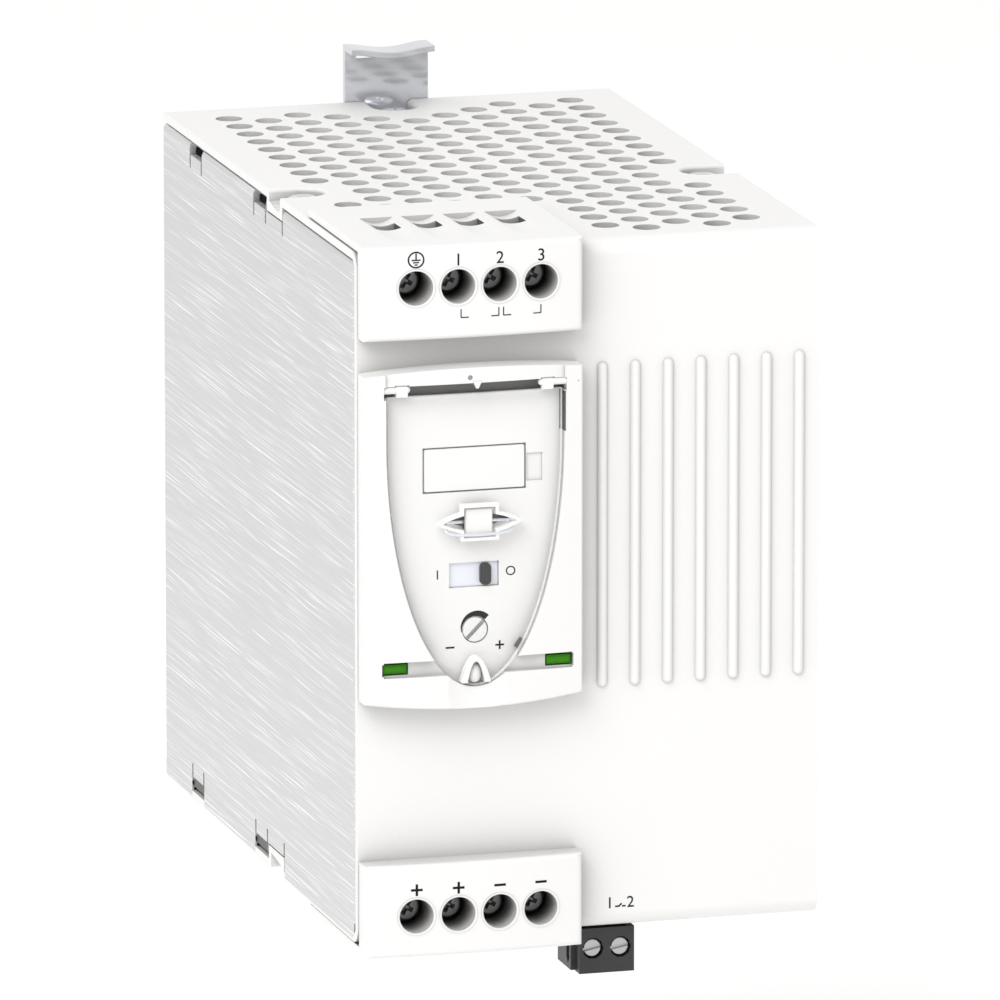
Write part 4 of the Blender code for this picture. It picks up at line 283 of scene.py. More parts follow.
def copy_of(piece: Piece, name: str, move: Matrix) -> Piece:
    """Copy a piece to another place, with a mesh of its own.

    Args:
        piece: The piece to copy.
        name: Name of the copy.
        move: Where the copy goes, from where the piece is; it may mirror.

    Returns:
        The copy.
    """
    pick_up(piece)
    bpy.ops.object.duplicate(linked=False)
    twin = bpy.context.active_object
    twin.matrix_world = move
    twin = christen(name)
    if move.determinant() < 0:
        face_outwards(twin)
    return twin


def box(name: str, low: Sequence[float], high: Sequence[float]) -> Piece:
    """Start a piece as a cube between two corners."""
    middle = [(a + b) / 2 for a, b in zip(low, high)]
    size = [b - a for a, b in zip(low, high)]
    bpy.ops.object.select_all(action="DESELECT")
    bpy.ops.mesh.primitive_cube_add(size=1, location=middle, scale=size)
    return christen(name)


def rod(name: str, axis: Axis, centre: Flat, radius: float, ends: Flat, sides: int) -> Piece:
    """Start a piece as a cylinder along an axis, between two places on it."""
    bpy.ops.object.select_all(action="DESELECT")
    bpy.ops.mesh.primitive_cylinder_add(
        vertices=sides, radius=radius, depth=abs(ends[1] - ends[0]),
        location=axis.at(centre[0], centre[1], (ends[0] + ends[1]) / 2), rotation=axis.turn(),
    )
    return christen(name)


def plate(name: str, outline: Sequence[Flat], axis: Axis, ends: Flat) -> Piece:
    """Cut a plate to an outline and give it thickness along an axis."""
    bpy.ops.object.select_all(action="DESELECT")
    bpy.ops.mesh.primitive_circle_add(vertices=len(outline), radius=1, fill_type="NGON")
    piece = christen(name)
    for point, (u, v) in zip(piece.data.vertices, outline):
        point.co = axis.at(u, v, ends[0])
    edit(piece, Pick.FACES, everything, extrude(axis.at(0, 0, ends[1] - ends[0])))
    face_outwards(piece)
    return piece


def slab(name: str, columns: Sequence[float], heights: tuple[Curve, Curve],
        depths: tuple[Curve, Curve]) -> Piece:
    """Form a slab whose edges and faces are curves over X.

    Args:
        name: Name of the piece.
        columns: The X of each column of points.
        heights: Lower and upper edge as functions of X.
        depths: Near and far face as functions of X.

    Returns:
        The closed slab.
    """
    count = len(columns) - 1
    bpy.ops.object.select_all(action="DESELECT")
    bpy.ops.mesh.primitive_grid_add(x_subdivisions=count, y_subdivisions=1, size=1)
    piece = christen(name)
    for point in piece.data.vertices:
        x = columns[round((point.co.x + 0.5) * count)]
        point.co = (x, depths[0](x), heights[1 if point.co.y > 0 else 0](x))
    edit(piece, Pick.FACES, everything, extrude((0, 1, 0)))
    for point in piece.data.vertices:
        if point.co.y > 0.5:
            point.co.y = depths[1](point.co.x)
    face_outwards(piece)
    return piece


def steps(low: float, high: float, count: int) -> list[float]:
    """Return evenly spaced places, both ends included."""
    return [low + (high - low) * index / count for index in range(count + 1)]


def flat(value: float) -> Curve:
    """Return a curve that stays at one value."""
    return lambda _: value


class Wire:
    """An output of a node that takes part in sums."""

    def __init__(self, nodes: "Nodes", socket: bpy.types.NodeSocket) -> None:
        """Hold a socket and the node tree that it belongs to."""
        self.nodes = nodes
        self.socket = socket

    def __add__(self, other: "Wire | float") -> "Wire":
        """Add a value."""
        return self.nodes.sum("ADD", self, other)

    __radd__ = __add__

    def __mul__(self, other: "Wire | float") -> "Wire":
        """Multiply by a value."""
        return self.nodes.sum("MULTIPLY", self, other)

    __rmul__ = __mul__

    def __sub__(self, other: "Wire | float") -> "Wire":
        """Take a value away."""
        return self.nodes.sum("SUBTRACT", self, other)

    def __rsub__(self, other: float) -> "Wire":
        """Take this away from a value."""
        return self.nodes.sum("SUBTRACT", other, self)


class Nodes:
    """The node tree of one material or world."""

    def __init__(self, tree: bpy.types.NodeTree) -> None:
        """Hold the tree."""
        self.tree = tree

    def add(
        self, kind: str, settings: dict[str, object] | None = None,
        sockets: dict[str | int, object] | None = None, out: str | int = 0,
    ) -> Wire:
        """Add a node.

        Args:
            kind: The node's type.
            settings: Properties that are set first; "stops" gives a ramp's places and colours.
            sockets: Values or wires of its inputs, by name or number.
            out: Which output to return.

        Returns:
            The output as a wire.
        """
        node = self.tree.nodes.new(kind)
        for key, value in (settings or {}).items():
            if key == "stops":
                elements = node.color_ramp.elements
                while len(elements) < len(value):
                    elements.new(1.0)
                for element, (place, colour) in zip(elements, value):
                    element.position = place
                    element.color = (*colour, 1.0)
            else:
                setattr(node, key, value)
        for key, value in (sockets or {}).items():
            if isinstance(value, Wire):
                self.tree.links.new(value.socket, node.inputs[key])
            else:
                node.inputs[key].default_value = value
        return Wire(self, node.outputs[out])

    def sum(self, operation: str, first: Wire | float, second: Wire | float) -> Wire:
        """Add a Math node."""
        return self.add("ShaderNodeMath", {"operation": operation}, {0: first, 1: second})

    def place(self, scale: Point) -> Wire:
        """Return object coordinates, stretched along each axis."""
        here = self.add("ShaderNodeTexCoord", out="Object")
        return self.add("ShaderNodeVectorMath", {"operation": "MULTIPLY"}, {0: here, 1: scale})

    def noise(self, scale: Point, detail: float = 2.0) -> Wire:
        """Return cloudy noise between 0 and 1."""
        return self.add("ShaderNodeTexNoise", None,
            {"Vector": self.place(scale), "Scale": 1.0, "Detail": detail})

    def strokes(self, scale: Point, along: Axis, slip: float) -> Wire:
        """Return noise drawn out along an axis, its strokes shifted on from row to row."""
        spot = self.place(scale)
        parts = [self.add("ShaderNodeSeparateXYZ", None, {0: spot}, out=number) for number in range(3)]
        sideways = parts[along.value - 1] + parts[along.value - 2]
        parts[along.value] = parts[along.value] + slip * sideways
        shifted = self.add("ShaderNodeCombineXYZ", None, dict(enumerate(parts)))
        return self.add("ShaderNodeTexNoise", None, {"Vector": shifted, "Scale": 1.0, "Detail": 2.0})

    def window(self, value: Wire, low: float, high: float) -> Wire:
        """Return 0 below a low mark, 1 above a high one, and a ramp between."""
        return self.add(
            "ShaderNodeMapRange", {"clamp": True}, {"Value": value, "From Min": low, "From Max": high},
        )

    def blend(self, share: Wire, first: Colour, second: Colour) -> Wire:
        """Mix two colours."""
        sockets = {0: share, 6: (*first, 1.0), 7: (*second, 1.0)}
        return self.add("ShaderNodeMix", {"data_type": "RGBA"}, sockets, out=2)

    def openness(self, reach: float, alone: bool) -> Wire:
        """Return 1 on open surfaces and less in creases, of the piece alone or of all pieces."""
        return self.add("ShaderNodeAmbientOcclusion", {"samples": 8, "only_local": alone},
            {"Distance": reach}, out="AO")

    def dim(self, colour: Wire, share: Wire) -> Wire:
        """Multiply a colour by a value."""
        return self.add("ShaderNodeVectorMath", {"operation": "SCALE"}, {0: colour, "Scale": share})

    def seen(self) -> Wire:
        """Return 1 for what the camera sees, straight or in metal and glass, and 0 for other light."""
        direct = self.add("ShaderNodeLightPath", out="Is Camera Ray")
        outputs = direct.socket.node.outputs
        return direct + Wire(self, outputs["Is Glossy Ray"]) + Wire(self, outputs["Is Transmission Ray"])

    def bump(self, height: Wire, depth: float, strength: float) -> Wire:
        """Return a normal that follows a height."""
        return self.add("ShaderNodeBump", None, {"Height": height, "Distance": depth, "Strength": strength})

    def join(self, value: Wire, socket: bpy.types.NodeSocket) -> None:
        """Link a wire to an input."""
        self.tree.links.new(value.socket, socket)


def shade(colour: Colour, share: float) -> Colour:
    """Return a colour made darker or lighter by a share."""
    return tuple(min(1.0, channel * share) for channel in colour)


@dataclass(frozen=True)
class Finish:
    """A finish with slow drifts of colour and gloss over a fine surface texture, and painted shade in its
    creases.
    """

    name: str
    colour: Colour
    rough: float
    metal: float = 0.0
    drift: float = 0.02
    grain: float = 2600.0
    depth: float = 0.00001
    strength: float = 0.2
    coat: float = 0.0
    specular: float = 0.5
    # How far the colour is darkened in creases and hollows: painted shade.
    crease: float = 0.0
    reach: float = 0.02
    alone: bool = False

    def material(self) -> bpy.types.Material:
        """Return the material, made on its first use."""
        known = bpy.data.materials.get(self.name)
        if known:
            return known
        material = bpy.data.materials.new(self.name)
        material.use_nodes = True
        shader = material.node_tree.nodes["Principled BSDF"]
        shader.inputs["Base Color"].default_value = (*self.colour, 1.0)
        shader.inputs["Roughness"].default_value = self.rough
        shader.inputs["Metallic"].default_value = self.metal
        shader.inputs["Coat Weight"].default_value = self.coat
        shader.inputs["Specular IOR Level"].default_value = self.specular
        self.texture(Nodes(material.node_tree), shader)
        return material

    def texture(self, nodes: Nodes, shader: bpy.types.Node) -> None:
        """Link what varies over the surface."""
        cloud = nodes.noise((60.0, 60.0, 60.0), 3.0)
        fine = nodes.noise((self.grain,) * 3, 1.0)
        colour = nodes.blend(cloud, shade(self.colour, 1 - self.drift), shade(self.colour, 1 + self.drift))
        # Painted shade: the colour is darkened by the ambient-occlusion share in creases and hollows.
        if self.crease:
            colour = nodes.dim(colour, 1 - self.crease * (1 - nodes.openness(self.reach, self.alone)))
        nodes.join(colour, shader.inputs["Base Color"])
        nodes.join(self.rough - 0.05 + 0.07 * cloud + 0.03 * fine, shader.inputs["Roughness"])
        nodes.join(nodes.bump(fine, self.depth, self.strength), shader.inputs["Normal"])


@dataclass(frozen=True)
class Brushed(Finish):
    """Sheet with long bright strokes along one axis."""

    along: Axis = Axis.Y
    bright: float = 0.97
    slip: float = 0.37

    def texture(self, nodes: Nodes, shader: bpy.types.Node) -> None:
        """Link strokes of two widths."""
        broad = [2600.0, 2600.0, 2600.0]
        narrow = [4800.0, 4800.0, 4800.0]
        broad[self.along.value] = 14.0
        narrow[self.along.value] = 32.0
        wide = nodes.strokes(tuple(broad), self.along, self.slip)
        fine = nodes.strokes(tuple(narrow), self.along, self.slip)
        stroke = nodes.window(fine, 0.58, 0.67)
        ground = nodes.blend(wide, shade(self.colour, 0.93), shade(self.colour, 1.07))
        lit = nodes.add(
            "ShaderNodeMix", {"data_type": "RGBA"},
            {0: stroke, 6: ground, 7: (self.bright,) * 3 + (1.0,)}, out=2,
        )
        nodes.join(lit, shader.inputs["Base Color"])
        nodes.join(self.rough + 0.12 * fine - 0.1 * stroke, shader.inputs["Roughness"])
        nodes.join(nodes.bump(fine, self.depth, self.strength), shader.inputs["Normal"])


@dataclass(frozen=True)
class Plated(Finish):
    """Bright plating with faint drawing lines and a cloudy passivation."""

    cloudy: float = 0.065
    haze: float = 0.08

    def texture(self, nodes: Nodes, shader: bpy.types.Node) -> None:
        """Link clouds and faint lines."""
        cloud = nodes.noise((140.0, 140.0, 140.0), 3.0)
        lines = nodes.noise((1800.0, 1800.0, 60.0), 1.0)
        colour = nodes.blend(cloud, shade(self.colour, 1 - self.cloudy), shade(self.colour, 1 + self.cloudy))
        nodes.join(colour, shader.inputs["Base Color"])
        nodes.join(self.rough + self.haze * cloud - 0.02 * lines, shader.inputs["Roughness"])
        nodes.join(nodes.bump(lines, self.depth, self.strength), shader.inputs["Normal"])


@dataclass(frozen=True)
class Sunken(Finish):
    """Moulding with painted shade: its colour darkens towards the bottom of a well."""

    # The painted shade colour at the bottom of the well.
    deep: Colour = (0.04, 0.04, 0.04)
    mouth: float = -0.1415
    bottom: float = -0.1345

    def texture(self, nodes: Nodes, shader: bpy.types.Node) -> None:
        """Link a colour that darkens with the depth, a painted shade."""
        depth = nodes.add("ShaderNodeSeparateXYZ", None, {0: nodes.place((1.0, 1.0, 1.0))}, out=1)
        colour = nodes.blend(nodes.window(depth, self.mouth, self.bottom), self.colour, self.deep)
        fine = nodes.noise((self.grain,) * 3, 1.0)
        nodes.join(colour, shader.inputs["Base Color"])
        nodes.join(self.rough + 0.05 * fine, shader.inputs["Roughness"])
        nodes.join(nodes.bump(fine, self.depth, self.strength), shader.inputs["Normal"])


@dataclass(frozen=True)
class Clear(Finish):
    """Clear sheet: nearly unseen face on, paler at grazing angles, where the white opacity is a painted
    reflection.
    """

    alpha: float = 0.01
    rim: float = 0.25

    def texture(self, nodes: Nodes, shader: bpy.types.Node) -> None:
        """Link an opacity that grows at grazing angles, a painted reflection."""
        edge = nodes.add("ShaderNodeLayerWeight", None, {"Blend": 0.25}, out="Facing")
        haze = nodes.noise((300.0, 300.0, 300.0), 2.0)
        nodes.join(nodes.window(edge, 0.4, 1.0) * self.rim + self.alpha + 0.006 * haze,
            shader.inputs["Alpha"])
        nodes.join(self.rough + 0.04 * haze, shader.inputs["Roughness"])


@dataclass(frozen=True)
class Banded(Finish):
    """Wound or ridged surface with bands across one axis."""

    across: Axis = Axis.Z
    pitch: float = 0.0009

    def texture(self, nodes: Nodes, shader: bpy.types.Node) -> None:
        """Link one band to each turn."""
        scale = [0.0, 0.0, 0.0]
        scale[self.across.value] = 1.0
        settings = {"wave_type": "BANDS", "bands_direction": "DIAGONAL", "wave_profile": "SIN"}
        sockets = {"Vector": nodes.place(tuple(scale)), "Scale": 0.55 / self.pitch, "Distortion": 0.0}
        wave = nodes.add("ShaderNodeTexWave", settings, sockets, out="Fac")
        # The darker half of each band is painted shade between the turns; the bump shapes the same turns.
        colour = nodes.blend(wave, shade(self.colour, 0.55), shade(self.colour, 1.15))
        nodes.join(colour, shader.inputs["Base Color"])
        nodes.join(self.rough + 0.1 - 0.1 * wave, shader.inputs["Roughness"])
        nodes.join(nodes.bump(wave, self.pitch / 3, self.strength), shader.inputs["Normal"])


class Shelf:
    """Every finish that the supply uses."""

    # The crease share of paint, moulding, front and dial darkens their colour in creases: painted shade.
    paint = Finish(
        "cover_paint_finish", (0.91, 0.905, 0.893), 0.46, drift=0.006, grain=2300.0, strength=0.12,
        crease=0.75,
    )
    moulding = Finish(
        "white_moulding_finish", (0.905, 0.90, 0.89), 0.38, drift=0.006, grain=4200.0, strength=0.10,
        crease=0.75,
    )
    front = Finish(
        "front_moulding_finish", (0.905, 0.90, 0.89), 0.38, drift=0.006, grain=4200.0, strength=0.10,
        crease=0.65, alone=True,
    )
    frosted = Finish("frosted_edge_finish", (0.93, 0.93, 0.925), 0.35, drift=0.01, grain=4200.0,
        strength=0.10)
    dial = Finish("dial_finish", (0.84, 0.84, 0.83), 0.40, drift=0.02, grain=3600.0, crease=0.8,
        reach=0.002, alone=True)
    # The screw wells' grey and its darker depth are painted shade.
    well = Sunken("screw_well_finish", (0.56, 0.555, 0.54), 0.55, grain=4200.0)
    brushed = Brushed("brushed_side_finish", (0.66, 0.66, 0.665), 0.42, 1.0, strength=0.15)
    plated = Plated("plated_steel_finish", (0.66, 0.67, 0.69), 0.28, 1.0, depth=0.000004)
    mirror = Plated(
        "polished_tab_finish", (0.64, 0.65, 0.68), 0.10, 0.5, depth=0.000001, strength=0.05,
        cloudy=0.015, haze=0.015,
    )
    bright = Plated("bright_screw_finish", (0.72, 0.73, 0.76), 0.22, 1.0, depth=0.000004)
    dark = Plated("dark_screw_finish", (0.27, 0.27, 0.27), 0.40, 0.85, depth=0.000006)
    grey = Plated("grey_screw_finish", (0.46, 0.46, 0.46), 0.36, 0.9, depth=0.000006)
    clear = Clear("clear_flap_finish", (0.97, 0.97, 0.97), 0.10)
    clear_edge = Clear("clear_edge_finish", (0.97, 0.97, 0.965), 0.25, alpha=0.62, rim=0.3)
    card = Finish("card_finish", (0.90, 0.90, 0.895), 0.70, drift=0.01, grain=7000.0, strength=0.1)
    ink = Finish("ink_finish", (0.012, 0.012, 0.013), 0.60, drift=0.2, grain=6000.0, specular=0.1)
    black = Finish("black_moulding_finish", (0.022, 0.022, 0.023), 0.42, drift=0.10, grain=3600.0,
        strength=0.25)
    pale = Finish("pale_moulding_finish", (0.84, 0.865, 0.94), 0.40, drift=0.02, grain=3600.0)
    wire = Plated("seal_wire_finish", (0.78, 0.80, 0.86), 0.24, 0.9, depth=0.000003)
    # The lens's front takes the darker green and its bevelled rim the lighter green: a painted highlight on
    # the rim.
    green = Finish("light_lens_finish", (0.045, 0.25, 0.006), 0.30, drift=0.3, grain=900.0, specular=0.15)
    green_rim = Finish("light_rim_highlight_finish", (0.07, 0.40, 0.005), 0.30, drift=0.2, grain=900.0, specular=0.15)
    # Painted shade: the seal pocket's floor and walls are greyed where shade falls.
    pocket = Finish("seal_pocket_shade_finish", (0.34, 0.34, 0.335), 0.50, drift=0.05, grain=3600.0)
    # Painted shade: the grey of the hinge gap and the side slot.
    hinge_gap = Finish("hinge_gap_finish", (0.19, 0.19, 0.185), 0.50, drift=0.05, grain=3600.0)
    # Painted shadow: the dark colour of the wire slots, the window blinds and the catch.
    shadow = Finish("painted_shadow_finish", (0.10, 0.10, 0.095), 0.50, drift=0.05, grain=3600.0)
    board = Finish("laminate_finish", (0.012, 0.05, 0.022), 0.42, drift=0.12, grain=1500.0)
    ferrite = Finish("ferrite_finish", (0.06, 0.06, 0.065), 0.62, drift=0.15, grain=1800.0, strength=0.4)
    winding = Banded("winding_finish", (0.55, 0.30, 0.09), 0.32, 0.2, strength=0.6)
    sleeve = Finish("sleeve_finish", (0.03, 0.04, 0.07), 0.30, drift=0.1, grain=500.0)
    aluminium = Brushed("extruded_finish", (0.70, 0.70, 0.71), 0.42, 1.0, along=Axis.Z)


def dress(piece: Piece, finish: Finish, body: str, *nodes: str, slot: str = "") -> Piece:
    """Give a piece its finish and the body it rides on.

    Args:
        piece: The finished piece.
        finish: What it is made of.
        body: The body that carries it.
        nodes: The plain solids that it stands for.
        slot: Not used.

    Returns:
        The piece.
    """
    piece.data.materials.clear()
    piece.data.materials.append(finish.material())
    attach(piece, body)
    if nodes:
        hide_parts(*nodes)
    LOG.info("%s: %d faces on %s", piece.name, len(piece.data.polygons), body)
    return piece


def dress_part(piece: Piece, finish: Finish, test: Callable[[Vector, Vector], bool]) -> None:
    """Give some faces of a dressed piece another finish."""
    piece.data.materials.append(finish.material())
    number = len(piece.data.materials) - 1
    for face in piece.data.polygons:
        if test(face.center, face.normal):
            face.material_index = number


@dataclass
class Cover:
    """The bent cover: front, top and bottom with vents, screw pockets and ribs."""

    sheet: float = 0.0015
    bend: float = 0.003
    vent: float = 0.005
    vent_sides: int = 20
    column_pitch: float = 0.0065
    row_pitch: float = 0.0075
    side_margin: float = 0.0085
    back_margin: float = 0.0092
    front_margin: float = 0.0075
    vent_land: float = 0.0009
    lid_depth: float = 0.033
    pocket_width: float = 0.0076
    pocket_depth: float = 0.0025
    pocket_land: float = 0.0006
    pocket_lip: float = 0.0011
    screw_inset: float = 0.0053
    screw_from_front: float = 0.0555
    land: float = 0.0018
    face_height: float = 0.0169
    body_depth: float = 0.0243
    proud: float = 0.0017
    relay_x: float = 0.0046
    relay_half: float = 0.0063
    relay_front: float = -0.1344
    relay_back: float = -0.1212
    rib: float = 0.002
    rib_pitch: float = 0.00605
    rib_first: float = 0.0024
    rib_count: int = 7
    rib_top: float = 0.0371
    rib_length: float = 0.059

    def pockets(self, upper: bool) -> list[tuple[float, float, int]]:
        """Return the X, Y and mouth direction of each screw pocket."""
        side = DATUM.right - self.screw_inset
        y = DATUM.front + self.screw_from_front
        places = [(-side, y, 180), (side, y, 0)]
        if upper:
            places.append((0.0, DATUM.back - self.screw_inset, 90))
        return places

    def pocket_outline(self, place: tuple[float, float, int], half: float, reach: float) -> list[Flat]:
        """Return a round-ended pocket that runs out to an edge."""
        x, y, turn = place
        points = arc(0, 0, half, 90, 270, 16) + [(reach, -half), (reach, half)]
        cosine = round(math.cos(math.radians(turn)))
        sine = round(math.sin(math.radians(turn)))
        return [(x + cosine * u - sine * v, y + sine * u + cosine * v) for u, v in points]

    def on_pocket(self, place: tuple[float, float, int], point: Vector) -> bool:
        """Tell whether a point lies on a pocket's outline, seen from above."""
        x, y, turn = place
        angle = math.radians(-turn)
        u = (point.x - x) * math.cos(angle) - (point.y - y) * math.sin(angle)
        v = (point.x - x) * math.sin(angle) + (point.y - y) * math.cos(angle)
        half = self.pocket_width / 2
        return near(abs(v), half) if u > 0 else near(math.hypot(u, v), half)

    def blocked(self, x: float, y: float, upper: bool) -> bool:
        """Tell whether a vent would run into something."""
        clear = self.vent / 2 + self.vent_land
        half = self.pocket_width / 2 + self.pocket_land
        zones = [(DATUM.left, DATUM.front, DATUM.module_right, DATUM.front + self.lid_depth)]
        for pocket_x, pocket_y, turn in self.pockets(upper):
            depth = self.screw_inset + half
            if turn == 90:
                zones.append((pocket_x - half, DATUM.back - depth, pocket_x + half, DATUM.back))
            elif pocket_x < 0:
                zones.append((DATUM.left, pocket_y - half, DATUM.left + depth, pocket_y + half))
            else:
                zones.append((DATUM.right - depth, pocket_y - half, DATUM.right, pocket_y + half))
        if not upper:
            zones.append((self.relay_x - 0.0069, DATUM.front, self.relay_x + 0.0069, -0.1206))
        if y < DATUM.front + self.front_margin:
            return True
        return any(a - clear < x < c + clear and b - clear < y < d + clear for a, b, c, d in zones)

    def vents(self, upper: bool) -> list[Flat]:
        """Return the centres of the vents in the top or the bottom."""
        columns = int((DATUM.right - self.side_margin) / self.column_pitch)
        depth = DATUM.back - DATUM.front
        rows = int((depth - self.back_margin - self.front_margin) / self.row_pitch) + 1
        places = []
        for column in range(-columns, columns + 1):
            shift = 0.0 if (column - columns) % 2 == 0 else self.row_pitch / 2
            for row in range(rows):
                x = column * self.column_pitch
                y = DATUM.back - self.back_margin - shift - row * self.row_pitch
                if not self.blocked(x, y, upper):
                    places.append((x, y))
        return places

    def press_pockets(self, shell: Piece, upper: bool) -> None:
        """Press the screw pockets into the top or the bottom."""
        level = DATUM.top if upper else DATUM.base
        inwards = -1 if upper else 1
        floor = level + inwards * self.pocket_depth
        half = self.pocket_width / 2
        floors = []
        hollows = []
        for place in self.pockets(upper):
            outer = self.pocket_outline(place, half + self.sheet, self.screw_inset)
            floors.append(plate("pocket_floor", outer, Axis.Z,
                (floor + inwards * self.sheet, level + inwards * 0.0007)))
            inner = self.pocket_outline(place, half, self.screw_inset + DATUM.over)
            hollows.append(plate("pocket_hollow", inner, Axis.Z, (floor, level - inwards * DATUM.over)))
        work(shell, floors, Join.WELD)
        work(shell, hollows, Join.CUT)
        for height, radius in ((level, self.pocket_lip), (floor, 0.0005)):
            for place in self.pockets(upper):
                def rim(a: Vector, b: Vector) -> bool:
                    """Take the edges of one pocket at one height."""
                    flat_edge = near(a.z, height) and near(b.z, height)
                    return flat_edge and self.on_pocket(place, a) and self.on_pocket(place, b)
                round_edges(shell, rim, radius, 4)

    def rib_bars(self) -> list[Piece]:
        """Return the round-ended ribs of the front."""
        bpy.ops.object.select_all(action="DESELECT")
        bpy.ops.mesh.primitive_uv_sphere_add(
            segments=24, ring_count=11, radius=self.rib / 2,
            location=(self.rib_first, DATUM.front + DATUM.gap / 2,
                self.rib_top - self.rib_length + self.rib / 2),
        )
        first = christen("rib_1")
        middle = self.rib_top - self.rib_length + self.rib / 2
        lift = self.rib_length - self.rib
        edit(
            first, Pick.POINTS, lambda point: point.z > middle,
            lambda: bpy.ops.transform.translate(value=(0, 0, lift)),
        )
        bars = [first]
        for index in range(1, self.rib_count):
            bars.append(copy_of(first, f"rib_{index + 1}",
                Matrix.Translation((index * self.rib_pitch, 0, 0))))
        return bars

    def build(self) -> Piece:
        """Bend, press and punch the cover."""
        d = DATUM
        shell = box("cover", (d.left, d.front, d.base), (d.right, d.back, d.top))
        edit(
            shell, Pick.FACES, lambda _, normal: abs(normal.x) > 0.5 or normal.y > 0.5,
            lambda: bpy.ops.mesh.delete(type="FACE"),
        )
        round_edges(
            shell, lambda a, b: near(a.y, d.front) and near(b.y, d.front) and near(a.z, b.z), self.bend, 8,
        )
        shape_with(shell, "SOLIDIFY", thickness=self.sheet, offset=-1.0, use_even_offset=True)
        work(shell, self.rib_bars(), Join.WELD)
        for upper in (True, False):
            self.press_pockets(shell, upper)
        left = d.module_left + self.land
        right = d.module_right - self.land
        drop = self.face_height - self.proud - self.land
        deep = d.front + self.body_depth
        inner = d.front + self.sheet + d.over
        cuts = [
            box("cut", (left, d.ahead, d.top - drop), (right, deep, d.top + d.over)),
            box("cut", (left, d.ahead, d.base - d.over), (right, deep, d.base + drop)),
            box("cut", (left, d.ahead, d.bezel_bottom + self.land), (right, inner, d.bezel_top - self.land)),
            box("cut", (self.relay_x - self.relay_half, self.relay_front, d.base - d.over),
                (self.relay_x + self.relay_half, self.relay_back, d.base + self.sheet + d.over)),
        ]
        work(shell, cuts, Join.CUT)
        for upper, level in ((True, d.top), (False, d.base)):
            places = self.vents(upper)
            first = rod("vent", Axis.Z, places[0], self.vent / 2, (level - d.over, level + d.over),
                self.vent_sides)
            punches = [first]
            for x, y in places[1:]:
                move = Matrix.Translation((x - places[0][0], y - places[0][1], 0))
                punches.append(copy_of(first, "vent", move))
            work(shell, punches, Join.CUT)
        ease(shell, 0.00022, 2, 50.0)
        return polish(shell)

    def dress(self) -> None:
        """Build the cover and paint it."""
        dress(self.build(), Shelf.paint, "case", "cover_shell", slot="white_paint")


@dataclass
class PanelHems:
    """The lower hems of the side panels and the dark blinds, a painted shadow, behind their lower windows."""

    lap: float = 0.0005
    high: float = 0.0034
    proud: float = 0.00004
    sheet: float = 0.0004
    corner: float = 0.0014
    stops: tuple[Flat, ...] = ((0.0025, 0.0497), (0.0703, 0.1065), (0.1152, 0.134))
    windows: tuple[Flat, ...] = ((0.0614, 0.0703), (0.1065, 0.1152))
    blind: Flat = (0.0023, 0.0043)
    recess: float = 0.0003

    def layer(self, side: int, depth: float) -> Flat:
        """Return the X limits of a thin layer at a depth below a side face."""
        outer = side * (DATUM.right - depth)
        low, high = sorted((outer, outer - side * self.sheet))
        return low, high

    def hem(self, name: str, side: int) -> Piece:
        """Fold the lower edge of a panel in three lengths."""
        d = DATUM
        low = d.base + self.lap
        high = d.base + self.high
        lengths = []
        for number, (start, end) in enumerate(self.stops):
            front = d.front + start
            foot = [(front, low)] if number else arc(front + self.corner, low + self.corner,
                self.corner, 180, 270, 8)
            outline = [(front, high), *foot, (d.front + end, low), (d.front + end, high)]
            lengths.append(plate(name, outline, Axis.X, self.layer(side, -self.proud)))
        hem = gather(lengths)
        ease(hem, 0.00003, 1)
        return polish(hem)

    def blinds(self, name: str, side: int) -> Piece:
        """Set a dark blind into each lower window of a panel, a painted shadow where the window is in shade.
        """
        d = DATUM
        left, right = self.layer(side, self.recess)
        low, high = self.blind
        made = [
            box(name, (left, d.front + start, d.base + low), (right, d.front + end, d.base + high))
            for start, end in self.windows
        ]
        blinds = gather(made)
        ease(blinds, 0.00003, 1)
        return polish(blinds)

    def dress(self) -> None:
        """Build the hems and blinds of both panels."""
        for word, side in (("left", -1), ("right", 1)):
            dress(self.hem(f"{word}_panel_hem", side), Shelf.brushed, "case", slot="brushed_sheet")
            dress(self.blinds(f"{word}_window_blinds", side), Shelf.shadow, "case", slot="black_plastic")


